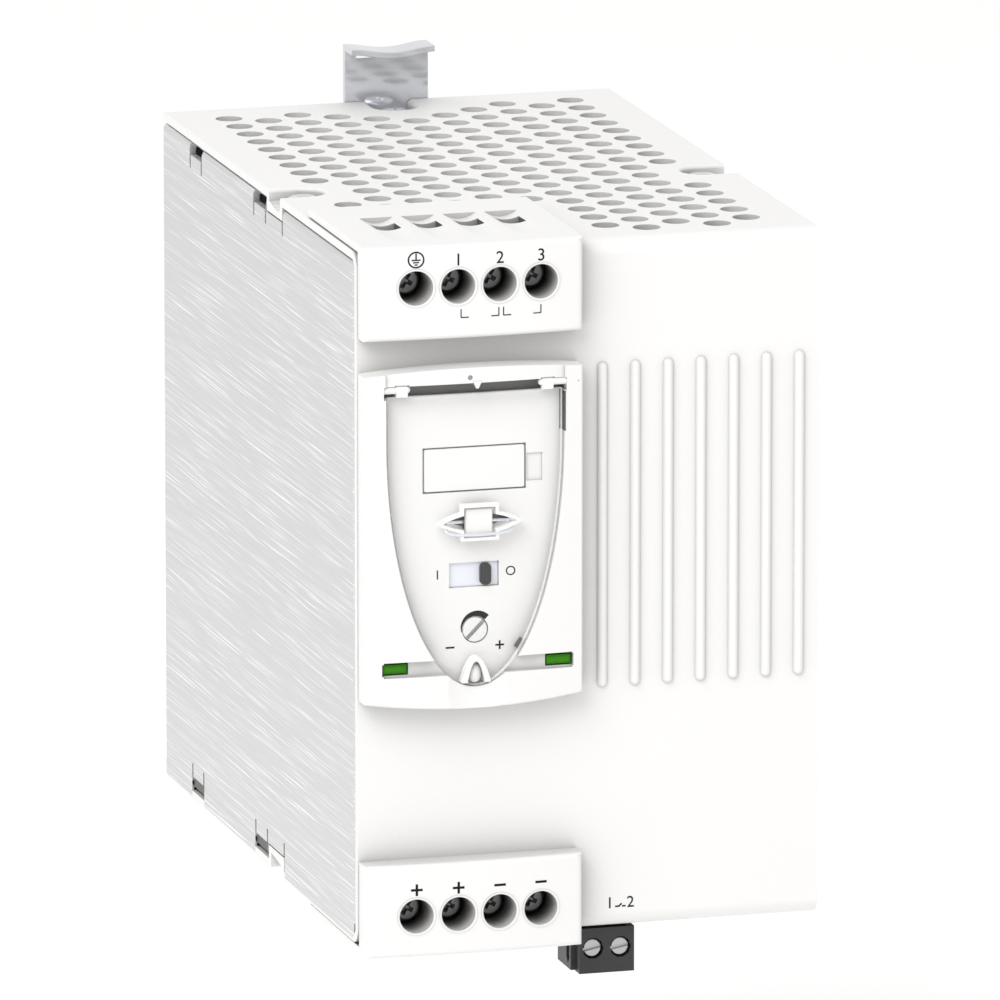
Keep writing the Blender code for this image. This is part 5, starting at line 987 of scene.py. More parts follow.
@dataclass
class TerminalBlocks:
    """The two bowed terminal blocks, one the mirror of the other."""

    proud: float = 0.0017
    height: float = 0.0169
    lid_depth: float = 0.033
    body_drop: float = 0.0134
    body_depth: float = 0.024
    edge: float = 0.0009
    lid_edge: float = 0.0005
    poles: tuple[float, ...] = (-0.03303, -0.02541, -0.01779, -0.01017)
    axis_drop: float = 0.0058
    hole: float = 0.0061
    hole_lip: float = 0.00025
    collar: tuple[float, float] = (0.00038, 0.0001)
    hole_back: float = 0.0042
    bore: float = 0.0036
    bay: tuple[float, float, float] = (0.0034, 0.00305, 0.0062)
    bay_back: float = 0.0196
    wire: tuple[float, float] = (0.013, 0.0178)
    wire_half: float = 0.0023
    wire_drop: float = 0.0121
    funnel: tuple[float, float] = (0.0012, 0.0217)
    funnel_width: float = 0.0061
    funnel_depth: float = 0.001
    funnel_lip: float = 0.00012

    def scoop(self, x: float) -> Piece:
        """Return the tool for one wire funnel: a shallow trough that deepens backwards."""
        bpy.ops.object.select_all(action="DESELECT")
        bpy.ops.mesh.primitive_grid_add(x_subdivisions=16, y_subdivisions=10, size=1)
        tool = christen("scoop")
        half = self.funnel_width / 2 * math.sqrt(1 + self.funnel_lip / self.funnel_depth)
        for point in tool.data.vertices:
            across = 2 * point.co.x
            along = point.co.y + 0.5
            depth = self.funnel_lip + (self.funnel_depth - self.funnel_lip) * along
            sag = (depth + self.funnel_lip) * (1 - across * across) - self.funnel_lip
            y = DATUM.front + self.funnel[0] + (self.funnel[1] - self.funnel[0]) * along
            point.co = (x + half * across, y, DATUM.top + self.proud - sag)
        edit(tool, Pick.FACES, everything, extrude((0, 0, 2 * DATUM.over)))
        face_outwards(tool)
        edit(tool, Pick.FACES, everything, lambda: bpy.ops.mesh.quads_convert_to_tris())
        return tool

    def build(self) -> Piece:
        """Mould the upper block."""
        d = DATUM
        top = d.top + self.proud
        low = top - self.height
        block = slab(
            "upper_block", steps(d.module_left, d.module_right, 32), (flat(low), flat(top)),
            (d.face, flat(d.front - 0.00002)),
        )

        def rim(a: Vector, b: Vector) -> bool:
            """Take the front's upper, lower and end edges."""
            if not (near(a.y, d.face(a.x)) and near(b.y, d.face(b.x))):
                return False
            level = near(a.z, b.z) and (near(a.z, top) or near(a.z, low))
            end = near(a.x, b.x) and (near(a.x, d.module_left) or near(a.x, d.module_right))
            return level or end

        round_edges(block, rim, self.edge, 6)
        lid = box("lid", (d.module_left, d.front - 0.0024, d.top + d.gap),
            (d.module_right, d.front + self.lid_depth, top))
        back = d.front + self.lid_depth
        round_edges(
            lid, lambda a, b: near(a.z, top) and near(b.z, top) and near(a.y, back) and near(b.y,
                back), self.lid_edge, 4,
        )
        work(block, [lid], Join.WELD)
        left = d.module_left + 0.0021
        right = d.module_right - 0.0021
        body = box("body", (left, d.front - 0.0024, d.top - self.body_drop),
            (right, d.front + self.body_depth, d.top + 0.001))
        work(block, [body], Join.WELD)
        axis = d.top - self.axis_drop
        width, proud = self.collar
        ring = rod("collar", Axis.Y, (0, 0), self.hole / 2 + width, (-proud, 0.0008), 48)
        work(block, [
            copy_of(ring, "collar", Matrix.Translation((x, d.face(x),
                axis)) @ Matrix.Rotation(d.lean(x), 4, "Z"))
            for x in self.poles
        ], Join.WELD)
        bpy.data.objects.remove(ring)
        work(block, [self.scoop(x) for x in self.poles], Join.CUT)
        bay_x, bay_z, bay_front = self.bay
        work(block, [
            box("bay", (x - bay_x, d.front + bay_front, axis - bay_z),
                (x + bay_x, d.front + self.bay_back, axis + bay_z))
            for x in self.poles
        ], Join.CUT)
        work(block, [
            box("slot", (x - self.wire_half, d.front + self.wire[0], d.top - self.wire_drop),
                (x + self.wire_half, d.front + self.wire[1], top + d.over))
            for x in self.poles
        ], Join.CUT)
        work(block, [
            rod("hole", Axis.Y, (x, axis), self.hole / 2, (d.ahead, d.front + self.hole_back),
                40) for x in self.poles
        ], Join.CUT)
        work(block, [
            rod("bore", Axis.Y, (x, axis), self.bore / 2, (d.front + 0.003, d.front + bay_front + 0.0004), 24)
            for x in self.poles
        ], Join.CUT)

        def lip(a: Vector, b: Vector) -> bool:
            """Take the mouths of the screwdriver holes."""
            if a.y > d.front - 0.003 or b.y > d.front - 0.003:
                return False
            if near(a.x, b.x, 1e-6):
                return False
            half = self.hole / 2
            return any(
                near(math.hypot(a.x - x, a.z - axis), half) and near(math.hypot(b.x - x, b.z - axis), half)
                for x in self.poles
            )

        round_edges(block, lip, self.hole_lip, 3)
        return polish(block)

    def dress(self) -> None:
        """Build both blocks and colour them, their screw wells and wire slots darker with painted shade."""
        upper = self.build()
        mirror = Matrix.Translation((0, 0, DATUM.top + DATUM.base)) @ Matrix.Diagonal((1, 1, -1, 1))
        lower = polish(copy_of(upper, "lower_block", mirror))
        for block, edge, side in ((upper, DATUM.top, 1), (lower, DATUM.base, -1)):
            node = block.name.replace("_block", "_terminal_block")
            dress(block, Shelf.moulding, "case", node, slot="white_moulding")
            axis = edge - side * self.axis_drop

            def well(middle: Vector, _: Vector) -> bool:
                """Take the walls and floors of the screw wells."""
                if not DATUM.front - 0.0042 < middle.y < DATUM.front + 0.0062:
                    return False
                return any(math.hypot(middle.x - x,
                    middle.z - axis) < self.hole / 2 + 2e-5 for x in self.poles)

            def slot(middle: Vector, _: Vector) -> bool:
                """Take the walls of the wire slots."""
                inside = any(abs(middle.x - x) < self.wire_half + 1e-5 for x in self.poles)
                deep = side * (middle.z - edge) < self.proud - self.funnel_depth - 2e-4
                return inside and deep and self.wire[0] - 1e-5 < middle.y - DATUM.front < self.wire[1] + 1e-5

            # Painted shade: the wire slots' walls turn dark and the screw wells grey to dark, where shade
            # falls.
            dress_part(block, Shelf.shadow, slot)
            dress_part(block, Shelf.well, well)


@dataclass
class Bezel:
    """The bowed front bezel with its rounded recess, windows, staple and posts."""

    top_arc: float = 0.0009
    bottom_arc: float = 0.0015
    edge: float = 0.0008
    recess_width: float = 0.0326
    recess_height: float = 0.0538
    recess_curve: float = 0.0445
    recess_top: float = 0.0346
    stile: float = 0.0038
    rail_sink: float = 0.0005
    groove: tuple[float, float] = (0.0028, 0.0006)
    light_z: float = -0.0154
    lights: tuple[float, float] = (-0.0367, -0.0066)
    light: tuple[float, float] = (0.0044, 0.0016)
    switch: tuple[float, float, float, float] = (-0.0218, 0.0006, 0.0091, 0.0045)
    dial: tuple[float, float, float] = (-0.0216, -0.0094, 0.0048)
    card: tuple[float, float, float, float] = (-0.02175, 0.01975, 0.0183, 0.0076)
    card_floor: float = -0.139
    seal: Flat = (-0.0214, 0.0105)
    seal_span: float = 0.0156
    seal_lens: float = 0.0042
    seal_bay: Flat = (0.0068, 0.0064)
    seal_deep: float = 0.001
    staple: tuple[float, float, float, float] = (0.005, 0.0048, 0.0009, 0.002)
    tunnel: float = 0.0011
    post: float = 0.003
    posts: tuple[Flat, ...] = ((-0.0388, -0.0099), (-0.0058, -0.0099), (-0.0388, 0.0315), (-0.0058, 0.0315))
    board: float = -0.1321
    hinge_slot: tuple[float, float, float] = (0.0016, 0.0007, 0.0012)
    ear_pocket: tuple[float, float, float] = (0.012, 0.0146, 0.0009)
    side_slot: tuple[float, float, float, float] = (-0.00615, -0.00555, 0.0260, 0.0332)
    clip: tuple[float, float, float] = (-0.0218, 0.0008, 0.001)
    nick: tuple[float, float, float] = (-0.0231, 0.0366, 0.00045)
    catch: tuple[float, float, float, float] = (-0.0135, -0.0123, 0.0019, 0.0012)

    def edge_curve(self, edge: float, rise: float) -> Curve:
        """Return an edge that arches between the bezel's ends."""
        middle = (DATUM.module_left + DATUM.module_right) / 2
        half = DATUM.module_right - middle
        return lambda x: edge + rise * (1 - ((x - middle) / half) ** 2)

    def curve(self, inset: float, count: int) -> list[Flat]:
        """Return the rounded lower edge of the recess from left to right, drawn in by an inset."""
        half = self.recess_width / 2 - inset
        drop = self.recess_curve - inset
        centre = self.recess_top - self.recess_height + self.recess_curve
        return [(DATUM.parts_x + half * u, centre + drop * v) for u, v in arc(0, 0, 1, 180, 360, count)]

    def seal_outline(self, grow: float) -> list[Flat]:
        """Return the sealing opening: a lens with a square bay, enlarged on every side."""
        span = self.seal_span / 2 + 2 * grow
        lens = self.seal_lens / 2 + grow
        bay_x = self.seal_bay[0] / 2 + grow
        bay_z = self.seal_bay[1] / 2 + grow
        side = [(span - (span - bay_x) * k / 10) for k in range(11)]
        quarter = [(u, lens * (1 - (u / span) ** 2)) for u in side] + [(bay_x, bay_z)]
        x, z = self.seal
        points = [(x + u, z + v) for u, v in quarter]
        points += [(x - u, z + v) for u, v in reversed(quarter)]
        points += [(x - u, z - v) for u, v in quarter[1:]]
        points += [(x + u, z - v) for u, v in reversed(quarter[1:])]
        return points

    def window(self, x: float, z: float, width: float, height: float, back: float) -> Piece:
        """Return the tool for a rectangular opening."""
        low = (x - width / 2, DATUM.ahead, z - height / 2)
        return box("window", low, (x + width / 2, back, z + height / 2))

    def build(self) -> Piece:
        """Mould the bezel."""
        d = DATUM
        low = self.edge_curve(d.bezel_bottom, -self.bottom_arc)
        high = self.edge_curve(d.bezel_top, self.top_arc)
        back = d.front - 0.00002
        bezel = slab("bezel", steps(d.module_left, d.module_right, 48), (low, high), (d.face, flat(back)))

        def rim(a: Vector, b: Vector) -> bool:
            """Take the outer edges of the front."""
            if not (near(a.y, d.face(a.x)) and near(b.y, d.face(b.x))):
                return False
            upper = near(a.z, high(a.x)) and near(b.z, high(b.x))
            lower = near(a.z, low(a.x)) and near(b.z, low(b.x))
            inner = d.module_left + 0.001 < a.x < d.module_right - 0.001
            return upper or lower or (near(a.x, b.x) and not inner)

        round_edges(bezel, rim, self.edge, 6)
        inner = steps(d.module_left + self.stile, d.module_right - self.stile + 0.0004, 40)
        sunk = slab(
            "sunk", inner, (flat(self.recess_top - 0.001), flat(d.bezel_top + 0.004)),
            (flat(d.ahead), lambda x: d.face(x) + self.rail_sink),
        )
        work(bezel, [sunk], Join.CUT)
        half = self.recess_width / 2
        outline = [(d.parts_x - half, self.recess_top), *self.curve(0.0, 72),
            (d.parts_x + half, self.recess_top)]
        work(bezel, [plate("recess", outline, Axis.Y, (d.ahead, d.floor))], Join.CUT)

        bpy.ops.object.select_all(action="DESELECT")
        bpy.ops.mesh.primitive_uv_sphere_add(
            segments=128, ring_count=64, radius=0.02,
            location=(d.parts_x, d.face(d.parts_x) - 0.0192, -0.0195),
        )
        work(bezel, [christen("thumb")], Join.CUT)

        height, depth = self.groove
        groove_back = d.front - d.end_proud + depth
        for x, reach in zip(self.lights, (d.module_left + 0.0034, d.module_right - 0.002)):
            places = sorted((d.parts_x, reach))
            work(bezel, [
                box("groove", (places[0], d.ahead, self.light_z - height / 2),
                    (places[1], groove_back, self.light_z + height / 2)),
            ], Join.CUT)
        through = back + d.over
        dial_x, dial_z, dial = self.dial
        slot = half + 0.0004
        below, above, deep = self.hinge_slot
        rail_edge = d.hinge_z + above
        side_left, side_right, side_low, side_high = self.side_slot
        nick_x, nick_z, nick = self.nick
        card_x, card_z, card_width, card_height = self.card
        openings = [
            box("hinge", (d.parts_x - slot, d.ahead, d.hinge_z - below),
                (d.parts_x + slot, d.floor + deep, rail_edge)),
            box("side", (side_left, d.ahead, side_low), (side_right, d.front - 0.0008, side_high)),
            rod("nick", Axis.Y, (nick_x, nick_z), nick,
                (d.ahead, d.face(nick_x) + self.rail_sink + 0.0005), 20),
            self.window(*self.switch, through),
            rod("dial", Axis.Y, (dial_x, dial_z), dial / 2, (d.ahead, through), 40),
            self.window(card_x, card_z, card_width + 2 * d.gap, card_height + 2 * d.gap, self.card_floor),
            self.window(card_x + card_width / 2 + 0.00185, card_z - 0.0003, 0.0029, 0.005, d.floor + 0.0003),
        ]
        openings += [
            self.window(x, self.light_z, self.light[0] + 2 * d.gap, self.light[1] + 2 * d.gap,
                through) for x in self.lights
        ]
        work(bezel, openings, Join.CUT)
        bores = [
            rod("bore", Axis.X, (d.hinge_y, d.hinge_z), 0.0007,
                (d.parts_x + side * (slot - 0.0003), d.parts_x + side * (slot + 0.0023)), 20)
            for side in (-1, 1)
        ]
        work(bezel, bores, Join.CUT)
        inner_end, outer_end, height = self.ear_pocket
        work(bezel, [
            box("pocket", (d.parts_x + min(a, b), d.ahead, d.hinge_z),
                (d.parts_x + max(a, b), d.floor + deep, d.hinge_z + height))
            for a, b in ((-outer_end, -inner_end), (inner_end, outer_end))
        ], Join.CUT)
        clip_x, clip_half, clip_drop = self.clip
        rail_face = d.face(clip_x) + self.rail_sink
        wedge = [
            (clip_x - clip_half, rail_edge + d.gap), (clip_x - clip_half / 4, rail_edge - clip_drop),
            (clip_x + clip_half / 4, rail_edge - clip_drop), (clip_x + clip_half, rail_edge + d.gap),
        ]
        work(bezel, [plate("clip", wedge, Axis.Y, (rail_face - 0.0001, rail_face + 0.0008))], Join.WELD)

        work(bezel, [plate("seal", self.seal_outline(-0.0009), Axis.Y,
            (d.ahead, d.floor + self.seal_deep))], Join.CUT)
        seal_x, seal_z = self.seal
        width, tall, leg, proud = self.staple
        face = d.floor - proud
        under = d.floor - self.tunnel
        root = d.floor + self.seal_deep + d.gap
        bow = [
            (root, seal_z - tall / 2), (root, seal_z - tall / 2 + leg), (under, seal_z - tall / 2 + leg),
            (under, seal_z + tall / 2 - leg), (root, seal_z + tall / 2 - leg), (root, seal_z + tall / 2),
            (face, seal_z + tall / 2), (face, seal_z - tall / 2),
        ]
        staple = plate("staple", bow, Axis.X, (seal_x - width / 2, seal_x + width / 2))
        round_edges(staple, lambda a, b: near(a.y, face) and near(b.y, face), 0.0003, 3)
        posts = [rod("post", Axis.Y, place, self.post / 2, (back - 0.0006, self.board - d.gap),
            24) for place in self.posts]
        work(bezel, [staple, *posts], Join.WELD)
        ease(bezel, 0.00013, 2, 50.0)
        return polish(bezel)

    def flap_catch(self) -> Piece:
        """Mould the dark catch in the recess's lower right wall."""
        x, z, length, width = self.catch
        straight = box("catch", (-length / 2, -0.1409, -width / 2),
            (length / 2, DATUM.floor + DATUM.gap, width / 2))
        turned = copy_of(straight, "flap_catch",
            Matrix.Translation((x, 0, z)) @ Matrix.Rotation(math.radians(-52), 4, "Y"))
        bpy.data.objects.remove(straight)
        ease(turned, 0.00012, 2)
        return polish(turned)

    def dress(self) -> None:
        """Build the bezel and its catch and colour them."""
        bezel = dress(self.build(), Shelf.front, "case", "front_bezel", slot="white_moulding")
        below, above, _ = self.hinge_slot
        left, right, low, high = self.side_slot

        def gap(middle: Vector, _: Vector) -> bool:
            """Take the deep faces of the hinge gap and of the side slot."""
            across = abs(middle.x - DATUM.parts_x) < self.recess_width / 2 + DATUM.gap
            hinge = across and DATUM.hinge_z - below - 1e-5 < middle.z < DATUM.hinge_z + above + 1e-5
            beside = left - 1e-5 < middle.x < right + 1e-5 and low - 1e-5 < middle.z < high + 1e-5
            return (hinge and middle.y > DATUM.floor - 0.0005) or (beside and middle.y > DATUM.floor - 0.001)

        def pocket(middle: Vector, _: Vector) -> bool:
            """Take the floor and walls of the pocket behind the seal."""
            x, z = self.seal
            inside = abs(middle.x - x) < self.seal_span / 2 and abs(middle.z - z) < self.seal_bay[1] / 2
            return inside and DATUM.floor + 0.0002 < middle.y < DATUM.floor + self.seal_deep + 1e-5

        # Painted shade: the hinge gap, the side slot and the seal pocket take grey colours where shade falls.
        dress_part(bezel, Shelf.hinge_gap, gap)
        dress_part(bezel, Shelf.pocket, pocket)
        # The catch takes the dark painted shadow finish.
        dress(self.flap_catch(), Shelf.shadow, "case", slot="black_plastic")


@dataclass
class Flap:
    """The clear hinged flap with its sealing opening and grip, its pins and the seal."""

    bezel: Bezel
    sheet: float = 0.0012
    sink: float = 0.00025
    gap: float = 0.0004
    ear_radius: float = 0.0008
    ear_length: float = 0.002
    ear_inset: float = 0.002
    pin: float = 0.0013
    pin_length: float = 0.0064
    pin_seat: float = 0.002
    top: float = 0.0337
    rim: float = 0.0005
    arch: tuple[float, float] = (0.0027, 0.0044)
    mouth: tuple[float, float] = (0.0015, 0.0034)
    dome: tuple[float, float, float] = (0.0013, 0.0009, 0.0018)

    def build(self) -> Piece:
        """Mould the flap."""
        d = DATUM
        curve = self.bezel.curve(self.gap, 64)
        low = {x: z for x, z in curve}
        front: Curve = lambda x: d.face(x) + self.sink
        flap = slab(
            "flap", [x for x, _ in curve], (lambda x: low[x], flat(self.top)),
            (front, lambda x: front(x) + self.sheet),
        )
        ears = []
        for side in (-1, 1):
            outer = d.parts_x + side * (self.bezel.recess_width / 2 - self.ear_inset)
            places = sorted((outer, outer - side * self.ear_length))
            y = front(places[0]) + d.gap
            shape = arc(d.hinge_y, d.hinge_z, self.ear_radius, 0, 180, 16)
            shape += [(d.hinge_y - self.ear_radius, d.hinge_z - d.gap), (y, self.top - 0.0012),
                (y + 0.0006, self.top - 0.0012)]
            ears.append(plate("ear", shape, Axis.X, (places[0], places[1])))
        work(flap, ears, Join.WELD)
        work(flap, [plate("seal", self.bezel.seal_outline(0.0), Axis.Y, (d.ahead, d.front))], Join.CUT)
        return polish(flap)

    def seal_rim(self) -> Piece:
        """Form the pale raised edge of the sealing opening."""
        d = DATUM
        front = d.face(d.parts_x) + self.sink - 0.0001
        edge = plate("seal_rim", self.bezel.seal_outline(0.0001), Axis.Y, (front, front + self.sheet + d.gap))
        work(edge, [plate("inside", self.bezel.seal_outline(-self.rim), Axis.Y, (d.ahead, d.front))],
            Join.CUT)
        ease(edge, 0.00012, 2)
        return polish(edge)

    def grip(self) -> Piece:
        """Form the arched lip and the dome that lift the flap at its tip."""
        d = DATUM
        base = self.bezel.recess_top - self.bezel.recess_height + self.gap + 0.0008
        front = d.face(d.parts_x) + self.sink

        def bow(half: float, height: float, foot: float) -> list[Flat]:
            """Return a bow that stands on two straight feet."""
            bent = [(d.parts_x + half * u, base + height * (1 - u * u)) for u in steps(-1, 1, 24)]
            return [(d.parts_x - half, base - foot), *bent, (d.parts_x + half, base - foot)]

        lip = plate("flap_grip", bow(*self.arch, 0.0004), Axis.Y, (front - 0.0001, front + 0.0018))
        work(lip, [plate("inside", bow(*self.mouth, 0.001), Axis.Y, (d.ahead, d.front))], Join.CUT)
        ease(lip, 0.00012, 2)
        width, depth, height = self.dome
        bpy.ops.object.select_all(action="DESELECT")
        bpy.ops.mesh.primitive_uv_sphere_add(
            segments=32, ring_count=16, radius=1, location=(d.parts_x, front + depth + d.gap, base + 0.0012),
            scale=(width, depth, height),
        )
        return polish(gather([lip, christen("dome")]), 45.0)

    def pins(self) -> list[Piece]:
        """Turn the two hinge pins."""
        d = DATUM
        made = []
        for name, side in (("pin_left", -1), ("pin_right", 1)):
            start = d.parts_x + side * (self.bezel.recess_width / 2 + self.gap + self.pin_seat)
            pin = rod(name, Axis.X, (d.hinge_y, d.hinge_z), self.pin / 2,
                (start, start - side * (self.pin_length + 0.0006)), 24)
            end = start - side * (self.pin_length + 0.0006)
            round_edges(pin, lambda a, b: near(a.x, end) and near(b.x, end), 0.0006, 5)
            made.append(polish(pin))
        return made

    def dress(self) -> None:
        """Build the flap, its grip and pins."""
        flap = dress(self.build(), Shelf.clear, "flap", "front_flap", slot="clear_plastic")
        dress_part(flap, Shelf.clear_edge, lambda _, normal: abs(normal.y) < 0.7)
        dress_part(flap, Shelf.frosted, lambda middle, _: middle.z > self.top + 1e-5)
        dress(self.grip(), Shelf.front, "flap", slot="white_moulding")
        dress(self.seal_rim(), Shelf.frosted, "flap", slot="white_moulding")
        for pin in self.pins():
            dress(pin, Shelf.frosted, "case", f"flap_{pin.name}", slot="white_moulding")


@dataclass
class Controls:
    """What sits in the bezel: card, switch knob, trimmer, light lenses and seal wire."""

    bezel: Bezel
    card_proud: float = 0.0001
    card_sheet: float = 0.0006
    knob: tuple[float, float] = (0.002, 0.0039)
    knob_rest: float = 0.0021
    knob_front: float = -0.1404
    knob_back: float = -0.1393
    window_sink: float = 0.0006
    dial: float = 0.0045
    dial_front: float = -0.1399
    dial_back: float = -0.1383
    shank: float = 0.0022
    shank_end: float = -0.1353
    slot: tuple[float, float] = (0.0007, 0.0006)
    lens_front: float = -0.141
    lens_back: float = -0.1324
    seal_hang: float = 0.0012

    def label_card(self) -> Piece:
        """Cut the label card."""
        x, z, width, height = self.bezel.card
        front = DATUM.floor - self.card_proud
        card = box("card", (x - width / 2, front, z - height / 2),
            (x + width / 2, front + self.card_sheet, z + height / 2))
        round_edges(card, lambda a, b: near(a.x, b.x) and near(a.z, b.z), 0.0003, 4)
        ease(card, 0.00008, 2)
        return polish(card)

    def switch_knob(self) -> Piece:
        """Mould the smooth round-ended switch knob."""
        x = self.bezel.switch[0] + self.knob_rest
        z = self.bezel.switch[1]
        half_x, half_z = self.knob[0] / 2, self.knob[1] / 2
        knob = box("knob", (x - half_x, self.knob_front, z - half_z),
            (x + half_x, self.knob_back, z + half_z))
        round_edges(knob, lambda a, b: near(a.x, b.x) and near(a.z, b.z), 0.0008, 8)
        round_edges(knob, lambda a, b: near(a.y, self.knob_front) and near(b.y, self.knob_front), 0.0004, 5)
        return polish(knob)

    def switch_plate(self) -> Piece:
        """Cut the pale plate that the knob slides on."""
        x, z, width, height = self.bezel.switch
        front = DATUM.floor + self.window_sink
        half_x, half_z = width / 2 - 0.00005, height / 2 - 0.00005
        base = box("switch_plate", (x - half_x, front, z - half_z), (x + half_x, front + 0.0005, z + half_z))
        ease(base, 0.00005, 1)
        return polish(base)

    def trimmer(self) -> Piece:
        """Turn the trimmer and saw its slot."""
        x, z, _ = self.bezel.dial
        dial = rod("trimmer", Axis.Y, (x, z), self.dial / 2, (self.dial_front, self.dial_back), 48)
        round_edges(dial, lambda a, b: near(a.y, self.dial_front) and near(b.y, self.dial_front), 0.0003, 3)
        work(dial, [rod("shank", Axis.Y, (x, z), self.shank / 2,
            (self.dial_back - 0.0004, self.shank_end), 24)], Join.WELD)
        width, depth = self.slot
        saw = box("saw", (-0.004, self.dial_front - 0.001, -width / 2),
            (0.004, self.dial_front + depth, width / 2))
        turned = copy_of(saw, "saw_turned",
            Matrix.Translation((x, 0, z)) @ Matrix.Rotation(-math.pi / 4, 4, "Y"))
        bpy.data.objects.remove(saw)
        work(dial, [turned], Join.CUT)
        ease(dial, 0.00006, 1)
        return polish(dial)

    def lens(self, name: str, x: float) -> Piece:
        """Mould one light lens with a raised middle."""
        width, height = self.bezel.light
        z = self.bezel.light_z
        lens = box(name, (x - width / 2, self.lens_front, z - height / 2),
            (x + width / 2, self.lens_back, z + height / 2))
        edit(
            lens, Pick.FACES, lambda _, normal: normal.y < -0.5,
            lambda: bpy.ops.mesh.inset(thickness=0.00045),
            lambda: bpy.ops.transform.translate(value=(0, -0.0002, 0)),
        )
        ease(lens, 0.00005, 1)
        return polish(lens, 20.0)

    def seal_wire(self) -> Piece:
        """Bend the seal wire from the plain solid, rounder and smoother."""
        pick_up(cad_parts["seal_ring"])
        bpy.ops.object.duplicate(linked=False)
        wire = bpy.context.active_object
        wire.parent = None
        for key in list(wire.keys()):
            del wire[key]
        wire = christen("seal_wire")
        edit(wire, Pick.FACES, everything, lambda: bpy.ops.mesh.remove_doubles(threshold=1e-6))
        depths = [point.co.y for point in wire.data.vertices]
        front, back = min(depths), max(depths)
        for point in wire.data.vertices:
            point.co.z -= self.seal_hang * (back - point.co.y) / (back - front)
        shape_with(wire, "SUBSURF", levels=2, render_levels=2)
        face_outwards(wire)
        return polish(wire, 60.0)

    def dress(self) -> None:
        """Build the controls and finish each."""
        dress(self.label_card(), Shelf.card, "case", "label_card", slot="card")
        dress(self.switch_knob(), Shelf.black, "knob", "switch_knob", slot="black_plastic")
        dress(self.switch_plate(), Shelf.pale, "case", slot="pale_plastic")
        dress(self.trimmer(), Shelf.dial, "trimmer", "trimmer_screw", slot="pale_plastic")
        for name, x in zip(("left", "right"), self.bezel.lights):
            lens = dress(self.lens(f"lens_{name}", x), Shelf.green_rim, "case", f"light_guide_{name}",
                slot="green_window")
            # The front face takes the darker green; the bevelled rim keeps the lighter green as a painted
            # highlight.
            dress_part(lens, Shelf.green, lambda _, normal: normal.y < -0.9)
        dress(self.seal_wire(), Shelf.wire, "case", "seal_ring", slot="bright_steel")


